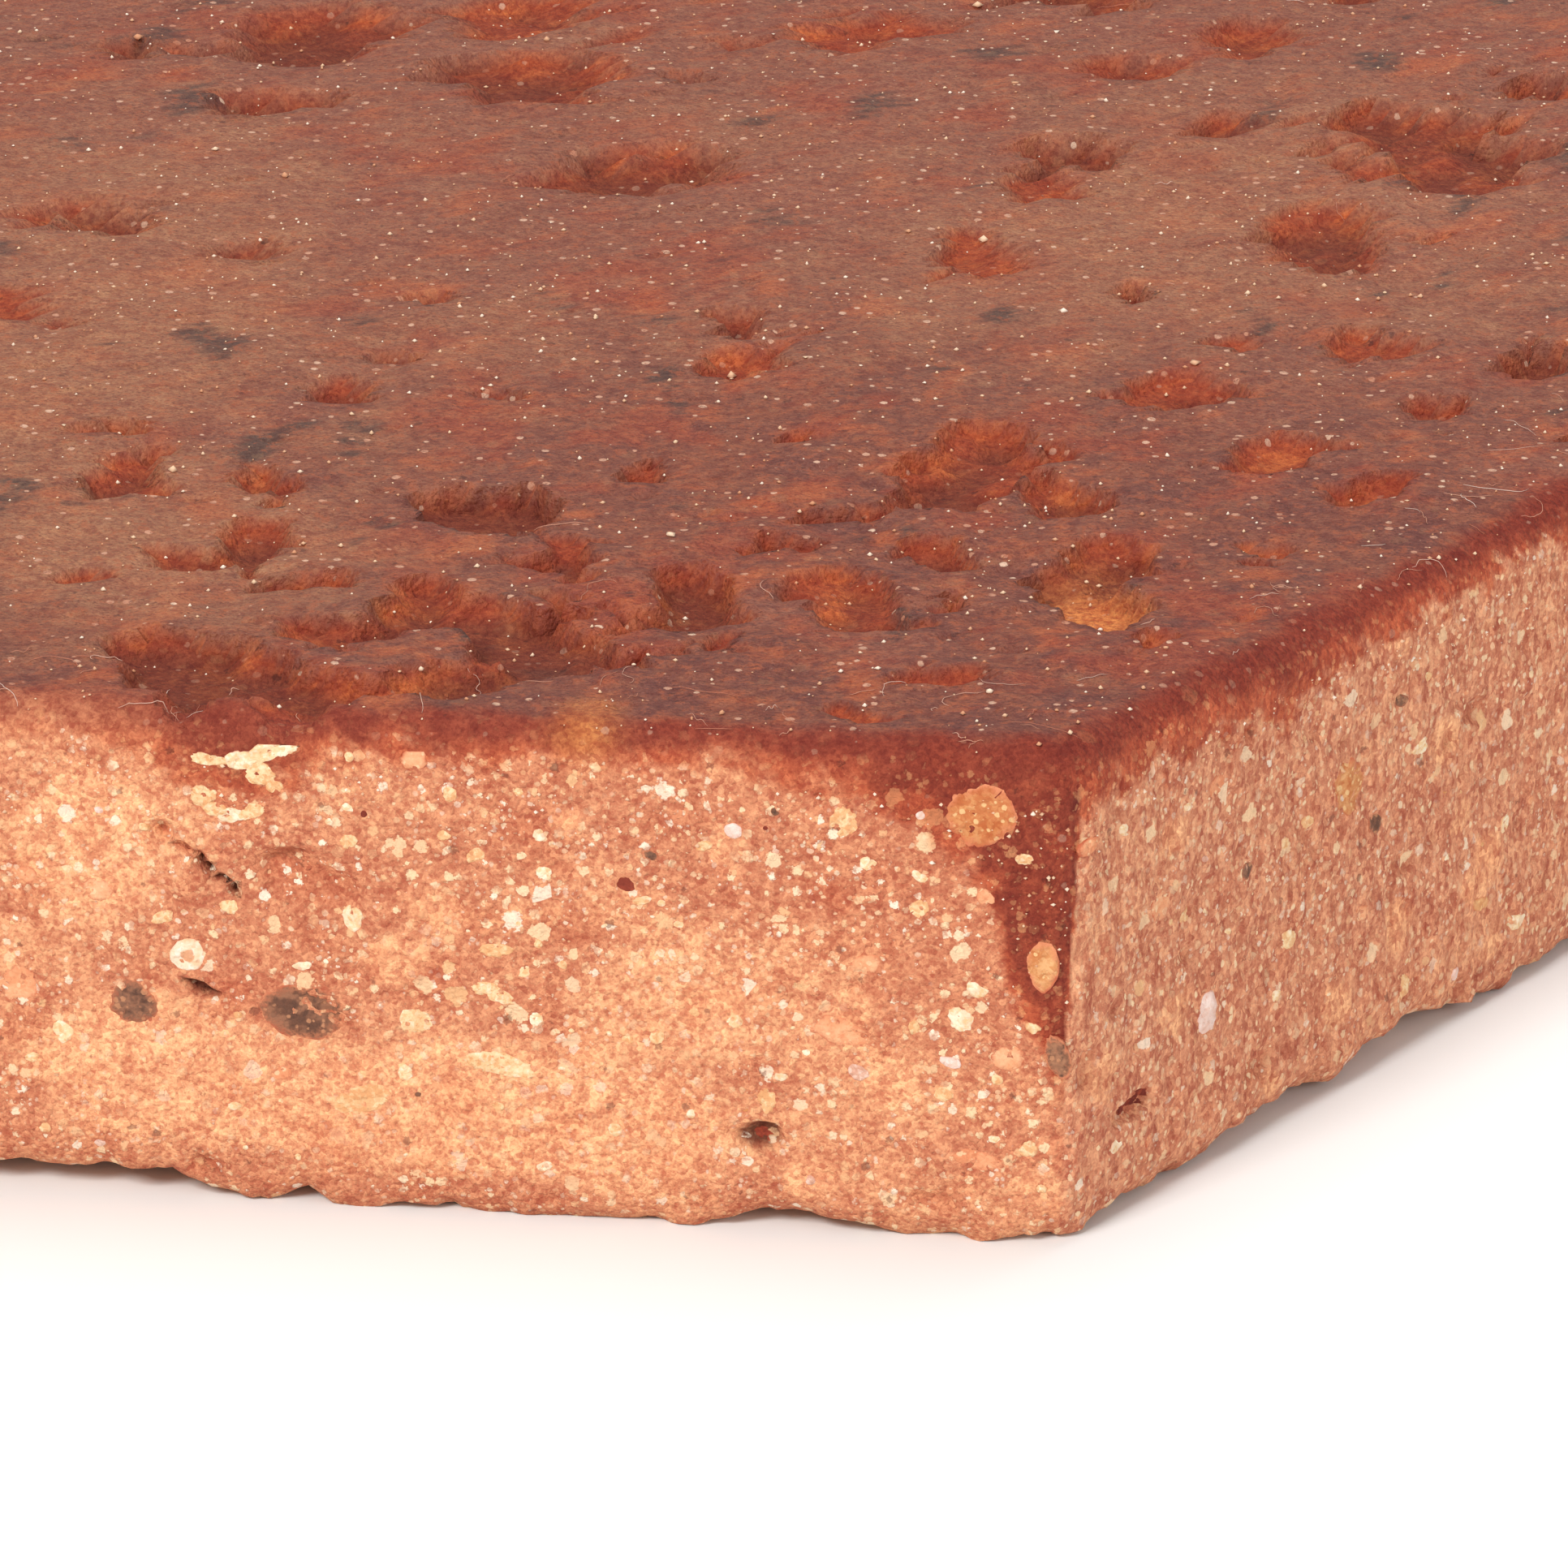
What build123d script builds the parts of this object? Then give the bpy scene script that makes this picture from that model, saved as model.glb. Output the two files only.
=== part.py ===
"""Handmade terracotta floor tile, hexagonal, with a sealed wear face.

Own frame: +Z up out of the wear face, origin at the centre of the bed face,
corners on +X and -X, flats square to Y. All lengths are millimetres.

The tile is one fired piece. Its solids are the clay matrix, the sealed crust
over its top and arris, and the stones and pellets that were in the clay, each
kind in its own node and each stone in a pocket of the matrix.
"""
from build123d import *
import os
import math
import random

# ---------------------------------------------------------------- dimensions
ACROSS_FLATS = 200.0        # flat to flat
THICKNESS = 20.0            # bed face to wear face
CORNER_RADIUS = 2.6         # upright corners, softened by hand
ARRIS_RADIUS = 2.5          # rounded edge of the wear face
CRUST = 0.6                 # depth that the sealer soaked into the clay
CRUST_LOW = 17.0            # height of the crust's lower edge on the sides
DENT_DEPTH = 0.35           # finger and grit hollows in the wear face
MIN_GRAIN = 0.80            # stones smaller than this stay in the clay's texture

APOTHEM = ACROSS_FLATS / 2
RADIUS = ACROSS_FLATS / math.sqrt(3)
SIDE = RADIUS               # side length of a regular hexagon
FACES = (-90, -30, 30, 90, 150, 210)    # outward directions of the edge faces


def face_plane(angle, out=0.0):
    """Plane on one edge face: local x along the face, local y up."""
    a = math.radians(angle)
    n = Vector(math.cos(a), math.sin(a), 0)
    t = Vector(-math.sin(a), math.cos(a), 0)
    return Plane(origin=n * (APOTHEM + out), x_dir=t, z_dir=n)


# Stones showing on the edge face at -90 degrees:
# kind, distance along the face from its middle, height, width, height of stone
FRONT = [
    ("cream", 27.3, 17.7, 2.7, 1.5), ("cream", 26.6, 16.0, 2.1, 1.2),
    ("peach", 18.8, 13.0, 1.1, 0.8), ("peach", 21.5, 12.5, 1.3, 1.2),
    ("peach", 33.4, 18.3, 1.2, 1.1), ("quartz", 45.2, 16.1, 0.9, 0.8),
    ("red", 41.2, 13.8, 1.0, 0.7), ("cream", 49.2, 16.8, 1.1, 1.4),
    ("ochre", 54.2, 17.2, 2.9, 2.7), ("peach", 54.4, 14.0, 0.9, 0.8),
    ("cream", 52.0, 13.4, 0.8, 0.8), ("lime", 24.8, 10.1, 1.5, 1.6),
    ("cream", 24.0, 11.5, 1.0, 0.6), ("cream", 31.0, 11.9, 1.0, 1.0),
    ("cream", 29.1, 9.9, 0.9, 0.5), ("iron", 22.7, 8.1, 1.8, 1.6),
    ("iron", 29.0, 8.0, 3.0, 2.0), ("peach", 18.4, 8.4, 1.8, 1.7),
    ("cream", 20.0, 6.7, 0.9, 1.0), ("cream", 31.2, 4.6, 2.3, 1.2),
    ("cream", 36.1, 9.2, 1.8, 0.7), ("cream", 36.4, 10.9, 1.5, 0.6),
    ("cream", 33.3, 7.9, 1.3, 1.2), ("cream", 36.3, 6.3, 2.7, 1.2),
    ("cream", 46.4, 5.5, 0.8, 1.2), ("red", 46.2, 3.9, 1.0, 0.7),
    ("cream", 54.1, 10.4, 1.0, 0.7), ("cream", 53.5, 9.0, 1.0, 1.1),
    ("quartz", 49.8, 6.8, 1.0, 0.8), ("quartz", 53.2, 7.4, 1.0, 0.6),
    ("peach", 50.0, 11.1, 1.5, 1.0), ("peach", 49.0, 8.4, 2.7, 1.2),
    ("peach", 55.3, 7.7, 1.6, 1.2), ("peach", 54.2, 3.5, 2.2, 1.0),
]
# The same for the face at -30 degrees, measured from its corner with the first.
RIGHT = [
    ("peach", 5.7, 12.0, 1.6, 1.6), ("quartz", 8.9, 6.6, 1.5, 2.0),
    ("peach", 9.2, 15.6, 1.3, 1.1), ("ochre", 18.0, 12.7, 2.5, 2.4),
    ("cream", 23.0, 12.8, 1.5, 0.8), ("iron", 19.9, 10.6, 0.9, 0.9),
    ("cream", 14.2, 7.8, 1.1, 0.8), ("ochre", 27.6, 4.7, 1.5, 0.9),
    ("cream", 29.1, 7.6, 0.9, 0.9), ("cream", 30.4, 3.0, 1.2, 0.8),
    ("cream", 22.4, 2.9, 0.8, 1.3), ("red", 4.4, 4.4, 2.1, 0.9),
    ("peach", 5.3, 2.6, 0.8, 0.7), ("cream", 15.3, 12.2, 0.8, 0.6),
    ("iron", 11.2, 11.6, 0.8, 0.7),
]
# Hollows in the wear face: x, y, width across the hollow
DENTS = [
    (28.8, -94.4, 4.6), (33.0, -89.3, 4.8), (27.0, -85.8, 3.0),
    (31.8, -76.9, 4.4), (39.0, -92.0, 4.6), (41.6, -85.5, 4.6),
    (47.9, -87.4, 3.2), (49.7, -72.9, 3.2), (56.0, -84.3, 4.4),
    (58.5, -79.0, 3.2), (51.2, -66.8, 5.0), (62.3, -67.4, 3.8),
    (58.6, -59.9, 3.8), (62.8, -40.4, 5.4), (17.8, -75.4, 3.0),
    (40.0, -59.4, 3.4), (32.3, -34.3, 5.6), (67.6, -29.7, 5.2),
    (20.0, -93.4, 4.0), (24.6, -64.5, 2.6),
]
# Bites out of the lower edge: face, distance along it from its middle, length
BITES = [
    (-90, 21.0, 9.0, 1.1), (-90, 47.6, 6.5, 0.8), (-90, -6.0, 7.0, 0.9),
    (-90, -33.0, 10.0, 1.2), (-30, -53.0, 6.5, 1.4), (-30, -43.0, 9.0, 1.5),
    (-30, -35.0, 6.0, 1.3), (-30, -14.0, 8.0, 1.2), (-30, 22.0, 9.0, 1.0),
]


# ----------------------------------------------------- where the stones are
rng = random.Random(4817)
KINDS = ("cream", "lime", "quartz", "iron", "ochre", "peach", "red")
SPREAD = (("cream", 11, 0.8, 2.2), ("lime", 1, 1.0, 1.8), ("quartz", 2, 0.8, 1.4),
          ("iron", 2, 1.0, 2.8), ("ochre", 2, 1.2, 2.8), ("peach", 4, 1.0, 2.6),
          ("red", 2, 0.9, 1.8))
stones = []                 # (kind, face, along, up, width, height)


def clear(face, s, z, w, h):
    """True where a stone of this size keeps clear of those already set."""
    for (_, f, s1, z1, w1, h1) in stones:
        if f == face and abs(s - s1) < (w + w1) / 2 + 0.2 and abs(z - z1) < (h + h1) / 2 + 0.2:
            return False
    return True


for kind, s, z, w, h in sorted(FRONT, key=lambda q: -q[3] * q[4]):
    if max(w, h) >= MIN_GRAIN and clear(-90, s, z, w, h):
        stones.append((kind, -90, s, z, w, h))
for kind, s, z, w, h in sorted(RIGHT, key=lambda q: -q[3] * q[4]):
    if max(w, h) >= MIN_GRAIN and clear(-30, s - SIDE / 2, z, w, h):
        stones.append((kind, -30, s - SIDE / 2, z, w, h))
for face in FACES:
    share = {-90: 0.62, -30: 0.65}.get(face, 1.0)
    for kind, count, small, large in SPREAD:
        for _ in range(round(count * share)):
            for _ in range(40):
                w = small + (large - small) * rng.random() ** 2
                h = w * rng.uniform(0.5, 0.95)
                low, high = -SIDE / 2 + 5, SIDE / 2 - 5
                if face == -90:
                    high = 14.0
                if face == -30:
                    low = -SIDE / 2 + 36
                s = rng.uniform(low, high)
                z = rng.uniform(3.0, 15.2)
                if clear(face, s, z, w, h):
                    stones.append((kind, face, s, z, w, h))
                    break


def stone_outline(w, h, seed):
    """An angular outline of about the given width and height."""
    r = random.Random(seed)
    count = r.choice((6, 7, 8))
    turn = r.uniform(0, math.tau)
    pts = []
    for k in range(count):
        a = turn + math.tau * (k + r.uniform(-0.2, 0.2)) / count
        q = r.uniform(0.9, 1.06)
        pts.append((w / 2 * q * math.cos(a), h / 2 * q * math.sin(a)))
    return pts


# ------------------------------------------------------------ the tile blank
with BuildPart() as blank:
    with BuildSketch():
        RegularPolygon(radius=RADIUS, side_count=6)
    extrude(amount=THICKNESS)
    fillet(blank.edges().filter_by(Axis.Z), CORNER_RADIUS)
    fillet(blank.faces().sort_by(Axis.Z)[-1].edges(), ARRIS_RADIUS)

with BuildPart() as core:
    with BuildSketch():
        RegularPolygon(radius=RADIUS - CRUST * 2 / math.sqrt(3), side_count=6)
    extrude(amount=THICKNESS - CRUST)
    fillet(core.edges().filter_by(Axis.Z), CORNER_RADIUS - CRUST)
    fillet(core.faces().sort_by(Axis.Z)[-1].edges(), ARRIS_RADIUS - CRUST)


# ---------------------------------------------------------- stones, by kind
def stone_kind(kind):
    """All stones of one kind, cut flush with the tile's outside."""
    with BuildPart() as group:
        for k, (name, face, s, z, w, h) in enumerate(stones):
            if name != kind:
                continue
            depth = min(1.3, 0.35 + 0.5 * min(w, h))
            with BuildSketch(face_plane(face, 0.3)):
                with Locations((s, z)):
                    Polygon(*stone_outline(w, h, 900 + k), align=None)
            extrude(amount=-(depth + 0.3), taper=9)
        add(blank.part, mode=Mode.INTERSECT)
    return group.part


cream = stone_kind("cream")
lime = stone_kind("lime")
quartz = stone_kind("quartz")
iron = stone_kind("iron")
ochre = stone_kind("ochre")
peach = stone_kind("peach")
red = stone_kind("red")
ALL_STONES = (cream, lime, quartz, iron, ochre, peach, red)

# ------------------------------------------------------------- sealed crust
with BuildPart() as sealed_skin:
    add(blank.part)
    add(core.part, mode=Mode.SUBTRACT)
    split(bisect_by=Plane.XY.offset(CRUST_LOW), keep=Keep.TOP)
    # shallow hollows, never deeper than the crust
    dents = list(DENTS)
    for _ in range(400):
        if len(dents) >= 64:
            break
        x, y = rng.uniform(-104, 104), rng.uniform(-92, 92)
        reach = max(abs(y), abs(x * math.sqrt(3) / 2 + y / 2), abs(x * math.sqrt(3) / 2 - y / 2))
        c = rng.uniform(2.4, 5.6)
        seen = x > 12 and y < -24 and x < 80
        if reach < APOTHEM - 6 and not seen and all(
                math.hypot(x - p, y - q) > (c + d) / 2 + 0.6 for p, q, d in dents):
            dents.append((x, y, c))
    for x, y, c in dents:
        r = (c * c / 4 + DENT_DEPTH ** 2) / (2 * DENT_DEPTH)
        with Locations((x, y, THICKNESS - DENT_DEPTH + r)):
            Sphere(r, mode=Mode.SUBTRACT)
    for part in ALL_STONES:
        add(part, mode=Mode.SUBTRACT)
sealed_skin.part.label = "sealed_skin"

# -------------------------------------------------------------- clay matrix
with BuildPart() as upper:
    add(core.part)
    split(bisect_by=Plane.XY.offset(CRUST_LOW), keep=Keep.TOP)

with BuildPart() as clay_body:
    add(blank.part)
    # everything above the crust's lower edge lies inside the crust
    with BuildSketch(Plane.XY.offset(CRUST_LOW)):
        RegularPolygon(radius=RADIUS + 5, side_count=6)
    extrude(amount=THICKNESS, mode=Mode.SUBTRACT)
    add(upper.part)
    # bites broken out of the lower edge
    bites = list(BITES)
    for face in (30, 90, 150, 210):
        for _ in range(3):
            bites.append((face, rng.uniform(-SIDE / 2 + 9, SIDE / 2 - 9),
                          rng.uniform(6, 10), rng.uniform(0.8, 1.3)))
    for face, s, length, bite in bites:
        r = (length * length / 4 + bite * bite) / (2 * bite)
        a = math.radians(face)
        n = Vector(math.cos(a), math.sin(a), 0)
        t = Vector(-math.sin(a), math.cos(a), 0)
        centre = n * (APOTHEM + (r - bite) * 0.78) + t * s + Vector(0, 0, -(r - bite) * 0.626)
        with Locations(centre):
            Sphere(r, mode=Mode.SUBTRACT)
    for part in ALL_STONES:
        add(part, mode=Mode.SUBTRACT)
clay_body.part.label = "clay_body"

# -------------------------------------------------------------------- write
os.makedirs("parts", exist_ok=True)
NAMES = (("cream_grog_chips", cream), ("lime_nodules", lime),
         ("quartz_pebbles", quartz), ("ironstone_nodules", iron),
         ("ochre_clay_pellets", ochre), ("peach_clay_pellets", peach),
         ("red_grog_chips", red))
export_step(clay_body.part, "parts/clay_body.step")
export_step(sealed_skin.part, "parts/sealed_skin.step")
for name, part in NAMES:
    part.label = name
    export_step(part, f"parts/{name}.step")
    print(name, len(part.solids()), round(part.volume, 2))
print("clay_body", len(clay_body.part.solids()), round(clay_body.part.volume, 1))
print("sealed_skin", len(sealed_skin.part.solids()), round(sealed_skin.part.volume, 1))
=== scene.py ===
import bpy, math, random
import numpy as np
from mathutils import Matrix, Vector


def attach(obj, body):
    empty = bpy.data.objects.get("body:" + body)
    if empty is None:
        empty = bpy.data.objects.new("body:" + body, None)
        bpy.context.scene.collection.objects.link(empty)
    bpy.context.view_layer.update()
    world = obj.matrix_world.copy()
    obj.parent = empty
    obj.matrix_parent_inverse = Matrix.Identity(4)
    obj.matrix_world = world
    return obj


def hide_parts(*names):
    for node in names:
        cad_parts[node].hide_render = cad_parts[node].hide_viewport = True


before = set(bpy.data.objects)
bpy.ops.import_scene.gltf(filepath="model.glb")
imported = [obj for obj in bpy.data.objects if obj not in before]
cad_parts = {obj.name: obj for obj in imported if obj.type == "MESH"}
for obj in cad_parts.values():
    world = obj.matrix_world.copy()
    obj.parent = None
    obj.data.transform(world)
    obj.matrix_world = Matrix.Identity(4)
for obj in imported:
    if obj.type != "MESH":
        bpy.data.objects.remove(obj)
bpy.context.view_layer.update()
R3 = math.sqrt(3.0)

# ------------------------------------------------------------------ sizes, mm
APOTHEM, THICK = 100.0, 20.0
SIDE = 2 * APOTHEM / R3
A_OUT = 99.95                 # nominal edge face, everything is worn inwards from it
ARRIS = 1.9
A_IN = A_OUT - ARRIS
PHI = np.radians([-90, -30, 30, 90, 150, 210])
CORNER = np.array([SIDE / 2, -APOTHEM])      # the corner between the -90 and -30 faces


# ------------------------------------------------------------------ noise
def hash3(ix, iy, iz, seed):
    n = (ix.astype(np.uint32) * np.uint32(0x8DA6B343)) ^ (iy.astype(np.uint32) * np.uint32(0xD8163841)) \
        ^ (iz.astype(np.uint32) * np.uint32(0xCB1AB31F)) ^ np.uint32((seed * 0x9E3779B9 + 0x1234567) & 0xFFFFFFFF)
    n ^= n >> np.uint32(15); n *= np.uint32(0x2C1B3C6D)
    n ^= n >> np.uint32(12); n *= np.uint32(0x297A2D39)
    n ^= n >> np.uint32(15)
    return n


def perlin(P, scale, seed=0):
    """Smooth noise of about -1 to 1, with lumps of the given size in mm (one size, or one for each axis)."""
    Q = np.asarray(P, float) / np.asarray(scale, float)
    I = np.floor(Q).astype(np.int64)
    F = Q - I
    U = F * F * F * (F * (F * 6 - 15) + 10)
    out = np.zeros(len(Q))
    for dx in (0, 1):
        wx = U[:, 0] if dx else 1 - U[:, 0]
        for dy in (0, 1):
            wy = U[:, 1] if dy else 1 - U[:, 1]
            for dz in (0, 1):
                wz = U[:, 2] if dz else 1 - U[:, 2]
                h = hash3(I[:, 0] + dx, I[:, 1] + dy, I[:, 2] + dz, seed)
                gx = (h & np.uint32(1023)) / 511.5 - 1
                gy = ((h >> np.uint32(10)) & np.uint32(1023)) / 511.5 - 1
                gz = ((h >> np.uint32(20)) & np.uint32(1023)) / 511.5 - 1
                out += wx * wy * wz * (gx * (F[:, 0] - dx) + gy * (F[:, 1] - dy) + gz * (F[:, 2] - dz))
    return out * 1.7


def fbm(P, scale, octaves=3, seed=0, gain=0.5):
    s, a, out, tot = np.asarray(scale, float), 1.0, 0.0, 0.0
    for k in range(octaves):
        out = out + a * perlin(P, s, seed + 17 * k)
        tot += a
        s, a = s * 0.48, a * gain
    return out / tot


def worley(P, scale, seed=0):
    """Distance to the nearest scattered point, in cells, and that point's own random number."""
    Q = np.asarray(P, float) / scale
    I = np.floor(Q).astype(np.int64)
    best = np.full(len(Q), 9.0)
    val = np.zeros(len(Q))
    for dx in (-1, 0, 1):
        for dy in (-1, 0, 1):
            for dz in (-1, 0, 1):
                h = hash3(I[:, 0] + dx, I[:, 1] + dy, I[:, 2] + dz, seed)
                px = I[:, 0] + dx + (h & np.uint32(1023)) / 1023.0
                py = I[:, 1] + dy + ((h >> np.uint32(10)) & np.uint32(1023)) / 1023.0
                pz = I[:, 2] + dz + ((h >> np.uint32(20)) & np.uint32(1023)) / 1023.0
                d = np.sqrt((Q[:, 0] - px) ** 2 + (Q[:, 1] - py) ** 2 + (Q[:, 2] - pz) ** 2)
                near = d < best
                best = np.where(near, d, best)
                val = np.where(near, ((h * np.uint32(2654435761)) >> np.uint32(8)) / 16777216.0, val)
    return best, val


def sstep(a, b, x):
    t = np.clip((x - a) / (b - a), 0, 1)
    return t * t * (3 - 2 * t)


def srgb(r, g, b):
    c = np.array([r, g, b], float) / 255
    return np.where(c <= 0.04045, c / 12.92, ((c + 0.055) / 1.055) ** 2.4)


# ------------------------------------------------------------------ outline
def rho(phi, apothem, p):
    """The hexagon's reach in each direction, with corners softened more as p falls."""
    c = np.clip(np.cos(phi[:, None] - PHI[None, :]), 0, None)
    return apothem / (c ** p).sum(1) ** (1.0 / p)


def face_of(phi):
    return np.argmax(np.cos(phi[:, None] - PHI[None, :]), 1)


def along(P2):
    """Face number, and the distance along that face from its first corner (counter-clockwise)."""
    phi = np.arctan2(P2[:, 1], P2[:, 0])
    f = face_of(phi)
    t = np.stack([-np.sin(PHI[f]), np.cos(PHI[f])], 1)
    return f, (P2 * t).sum(1) + SIDE / 2


# Lower broken edge: height against distance along, on the two faces beside the corner
EDGE_F = [(17.5, 1.05), (19.3, 1.01), (20.9, 1.18), (22.4, 1.1), (23.7, 1.15), (24.9, 0.62), (26.1, 0.25), (27.6, 0.02), (28.9, 0.68), (30.1, 0.02), (31.1, 0.02), (32.5, 0.24), (33.6, 0.31), (35.2, 0.02), (36.8, 0.05), (39, 0.02), (40.8, 0.05), (42.7, 0.02), (44.1, 0.18), (45.8, 0.67), (48.1, 0.58), (49.9, 0.58), (51.1, 0.05), (52.2, 0.02), (53.2, 0.02), (54.3, 0.02), (55.9, 0.35), (57.4, 0.12)]
EDGE_R = [(0, 0.12), (1.54, 0.14), (3.81, 0.66), (6.24, 0.34), (9.39, 0.18), (11.04, 0.8), (13.76, 0.96), (15.8, 0.94), (18.21, 0.34), (20.44, 0.84), (23.49, 1.18), (26.17, 0.76), (30.36, 0.02), (31.45, 0.47), (33.95, 0.45)]
# Lower limit of the sealer's stain, in the same way
STAIN_F = [(18.1, 18.6), (19.9, 18.5), (22.6, 18.0), (24.5, 17.0), (25.9, 16.4), (28.0, 16.3), (30.7, 18.1), (33.8, 18.4), (36.1, 17.9), (39.1, 18.6), (42.1, 18.4), (45.1, 18.3),
           (46.9, 18.0), (49.2, 17.3), (51.0, 16.6), (53.2, 15.4), (54.3, 13.8), (55.0, 12.2), (55.35, 9.8), (56.2, 8.4), (57.0, 6.6), (57.74, 6.4)]
STAIN_R = [(0, 6.4), (0.35, 12.0), (0.7, 17.0), (2.2, 17.3), (4.7, 17.6), (6.6, 17.6), (8.9, 17.6), (12.1, 17.2), (13.7, 16.6), (15.0, 17.0), (16.4, 17.5), (19.6, 17.8), (23.0, 17.9),
           (25.2, 18.0), (29.0, 18.4), (32.8, 18.1)]


def profile(P2, front, right, other, fade=6.0):
    """A height along the whole outline: the two lists beside the corner, `other` elsewhere."""
    f, s = along(P2)
    out = other.copy()
    a = np.interp(s - SIDE / 2, [q[0] for q in front], [q[1] for q in front])
    w = sstep(front[0][0] - fade, front[0][0], s - SIDE / 2)
    out = np.where(f == 0, other * (1 - w) + a * w, out)
    a = np.interp(s, [q[0] for q in right], [q[1] for q in right])
    w = 1 - sstep(right[-1][0], right[-1][0] + fade, s)
    return np.where(f == 1, other * (1 - w) + a * w, out)


def lower_edge(P2):
    P = np.c_[P2, np.zeros(len(P2))]
    other = 0.55 + 0.75 * fbm(P, 5.5, 3, 31)
    z = profile(P2, EDGE_F, EDGE_R, other)
    return np.clip(z + 0.14 * perlin(P, 1.1, 33) + 0.07 * perlin(P, 0.5, 34), 0.01, 2.2)


def stain_edge(P2):
    P = np.c_[P2, np.zeros(len(P2))]
    other = 17.6 + 1.1 * fbm(P, 8.0, 3, 41) - 5.0 * sstep(0.45, 0.8, perlin(P, 7.0, 43))
    corner = np.abs(np.abs(((np.arctan2(P2[:, 1], P2[:, 0]) + 10 * math.pi) % (math.pi / 3)) - 0) )
    corner = np.minimum(corner, math.pi / 3 - corner) * 115
    other = other - 5.5 * np.exp(-(corner / 1.6) ** 2)
    return profile(P2, STAIN_F, STAIN_R, other)


# ------------------------------------------------------------------ edge faces
# Hollows and cracks: face, along (from the middle on face 0, from the corner on face 1), height, width, height of it, depth, turn
NICKS = [(0, 24.0, 14.9, 1.0, .80, .45, -40), (0, 24.75, 14.35, 1.1, .36, .35, -22), (0, 25.5, 13.75, 1.2, .42, .60, -56), (0, 26.1, 13.25, .9, .36, .50, -12), (0, 26.55, 12.8, .85, .36, .50, -70), (0, 24.6, 13.3, 2.2, 1.7, -.14, 0), (0, 28.6, 14.25, 1.7, .7, .40, 8), (0, 29.2, 13.2, 4.6, 2.2, .36, -14), (0, 25.2, 12.9, 1.2, .9, -.08, 0),
         (0, 46.1, 3.95, 2.0, 1.15, .55, 5), (0, 25.3, 8.7, 1.7, .42, .5, -24), (0, 25.2, 1.5, 1.5, .8, .35, 0), (0, 30.1, 8.1, 2.6, .45, .2, -35),
         (1, 4.3, 4.35, 2.6, 1.05, .45, 10), (1, 1.2, 7.0, 1.2, 2.2, .25, 0), (1, 12.6, 3.2, 2.6, 1.2, .25, 15), (1, 22.0, 8.2, 2.0, 1.0, .2, -10),
         (1, 7.2, 9.3, 1.6, .8, .18, 5), (1, 27.0, 13.0, 1.8, 1.2, .22, 0), (0, 44.0, 9.6, 1.6, .5, .12, 0), (0, 52.6, 1.6, 2.2, .9, .25, -10)]
_r = random.Random(91)
for _f in range(6):
    for _ in range(16 if _f > 1 else 10):
        _s = _r.uniform(4, SIDE - 4)
        if _f == 0:
            _s = _r.uniform(4, SIDE / 2 + 15)
        if _f == 1:
            _s = _r.uniform(36, SIDE - 4)
        _w = _r.uniform(.7, 2.8)
        NICKS.append((_f, _s - (SIDE / 2 if _f == 0 else 0), _r.uniform(2, 15.5), _w, _w * _r.uniform(.25, .8), _r.uniform(.12, .5), _r.uniform(-40, 40)))


def side_dip(P, bound):
    """How far the edge face is worn in at each point, in mm, and its hollow mask. bound is the broken edge's height there."""
    f, s = along(P[:, :2])
    z = P[:, 2]
    streak = sstep(0.0, 1.0, (f != 0).astype(float))
    d = 0.16 + 0.13 * fbm(P, 16.0, 2, 3) + 0.05 * fbm(P, 3.2, 2, 5)
    grit = 0.055 * perlin(P, 0.85, 7) + 0.040 * perlin(P, 0.45, 8)
    rough = perlin(P, (1.2, 1.2, 4.0), 11) * 0.10 + perlin(P, (0.55, 0.55, 1.5), 12) * 0.075
    d = d + grit * (1 + 0.5 * streak) + rough * (0.25 + 0.75 * streak)
    w1, v1 = worley(P, 1.7, 5)
    d = d + 0.16 * sstep(0.30, 0.10, w1) * (v1 > 0.55)
    w2, v2 = worley(P, 0.8, 9)
    d = d + 0.07 * sstep(0.36, 0.12, w2) * (v2 > 0.5)
    mask, crack = np.zeros(len(P)), np.zeros(len(P))
    warp = 0.22 * perlin(P, 0.9, 13) + 0.12 * perlin(P, 0.4, 14)
    for (nf, na, nz, nw, nh, nd, turn) in NICKS:
        a0 = na + (SIDE / 2 if nf == 0 else 0)
        near = (f == nf) & (np.abs(s - a0) < nw + 1) & (np.abs(z - nz) < nw + 1)
        if not near.any():
            continue
        c, sn = math.cos(math.radians(turn)), math.sin(math.radians(turn))
        x, y = s[near] - a0, z[near] - nz
        q = np.sqrt(((x * c + y * sn) / (nw / 2)) ** 2 + ((-x * sn + y * c) / (nh / 2)) ** 2) + warp[near] * min(1.0, 1.2 / nh + 0.4)
        m = sstep(1.15, 0.55, q)
        d[near] += nd * m
        if nd > 0:
            mask[near] = np.maximum(mask[near], m)
        if nd >= 0.5:
            crack[near] = np.maximum(crack[near], m)
    # the broken lower edge rounds in
    up = z - bound
    lumps = 0.5 + 0.5 * perlin(P, 1.6, 21)
    d = d + (0.22 + 0.55 * lumps) * np.exp(-np.clip(up, 0, None) / 0.55) + 0.22 * lumps * np.exp(-np.clip(up, 0, None) / 1.6)
    return np.clip(d, 0.0, 2.2), mask, crack


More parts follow.
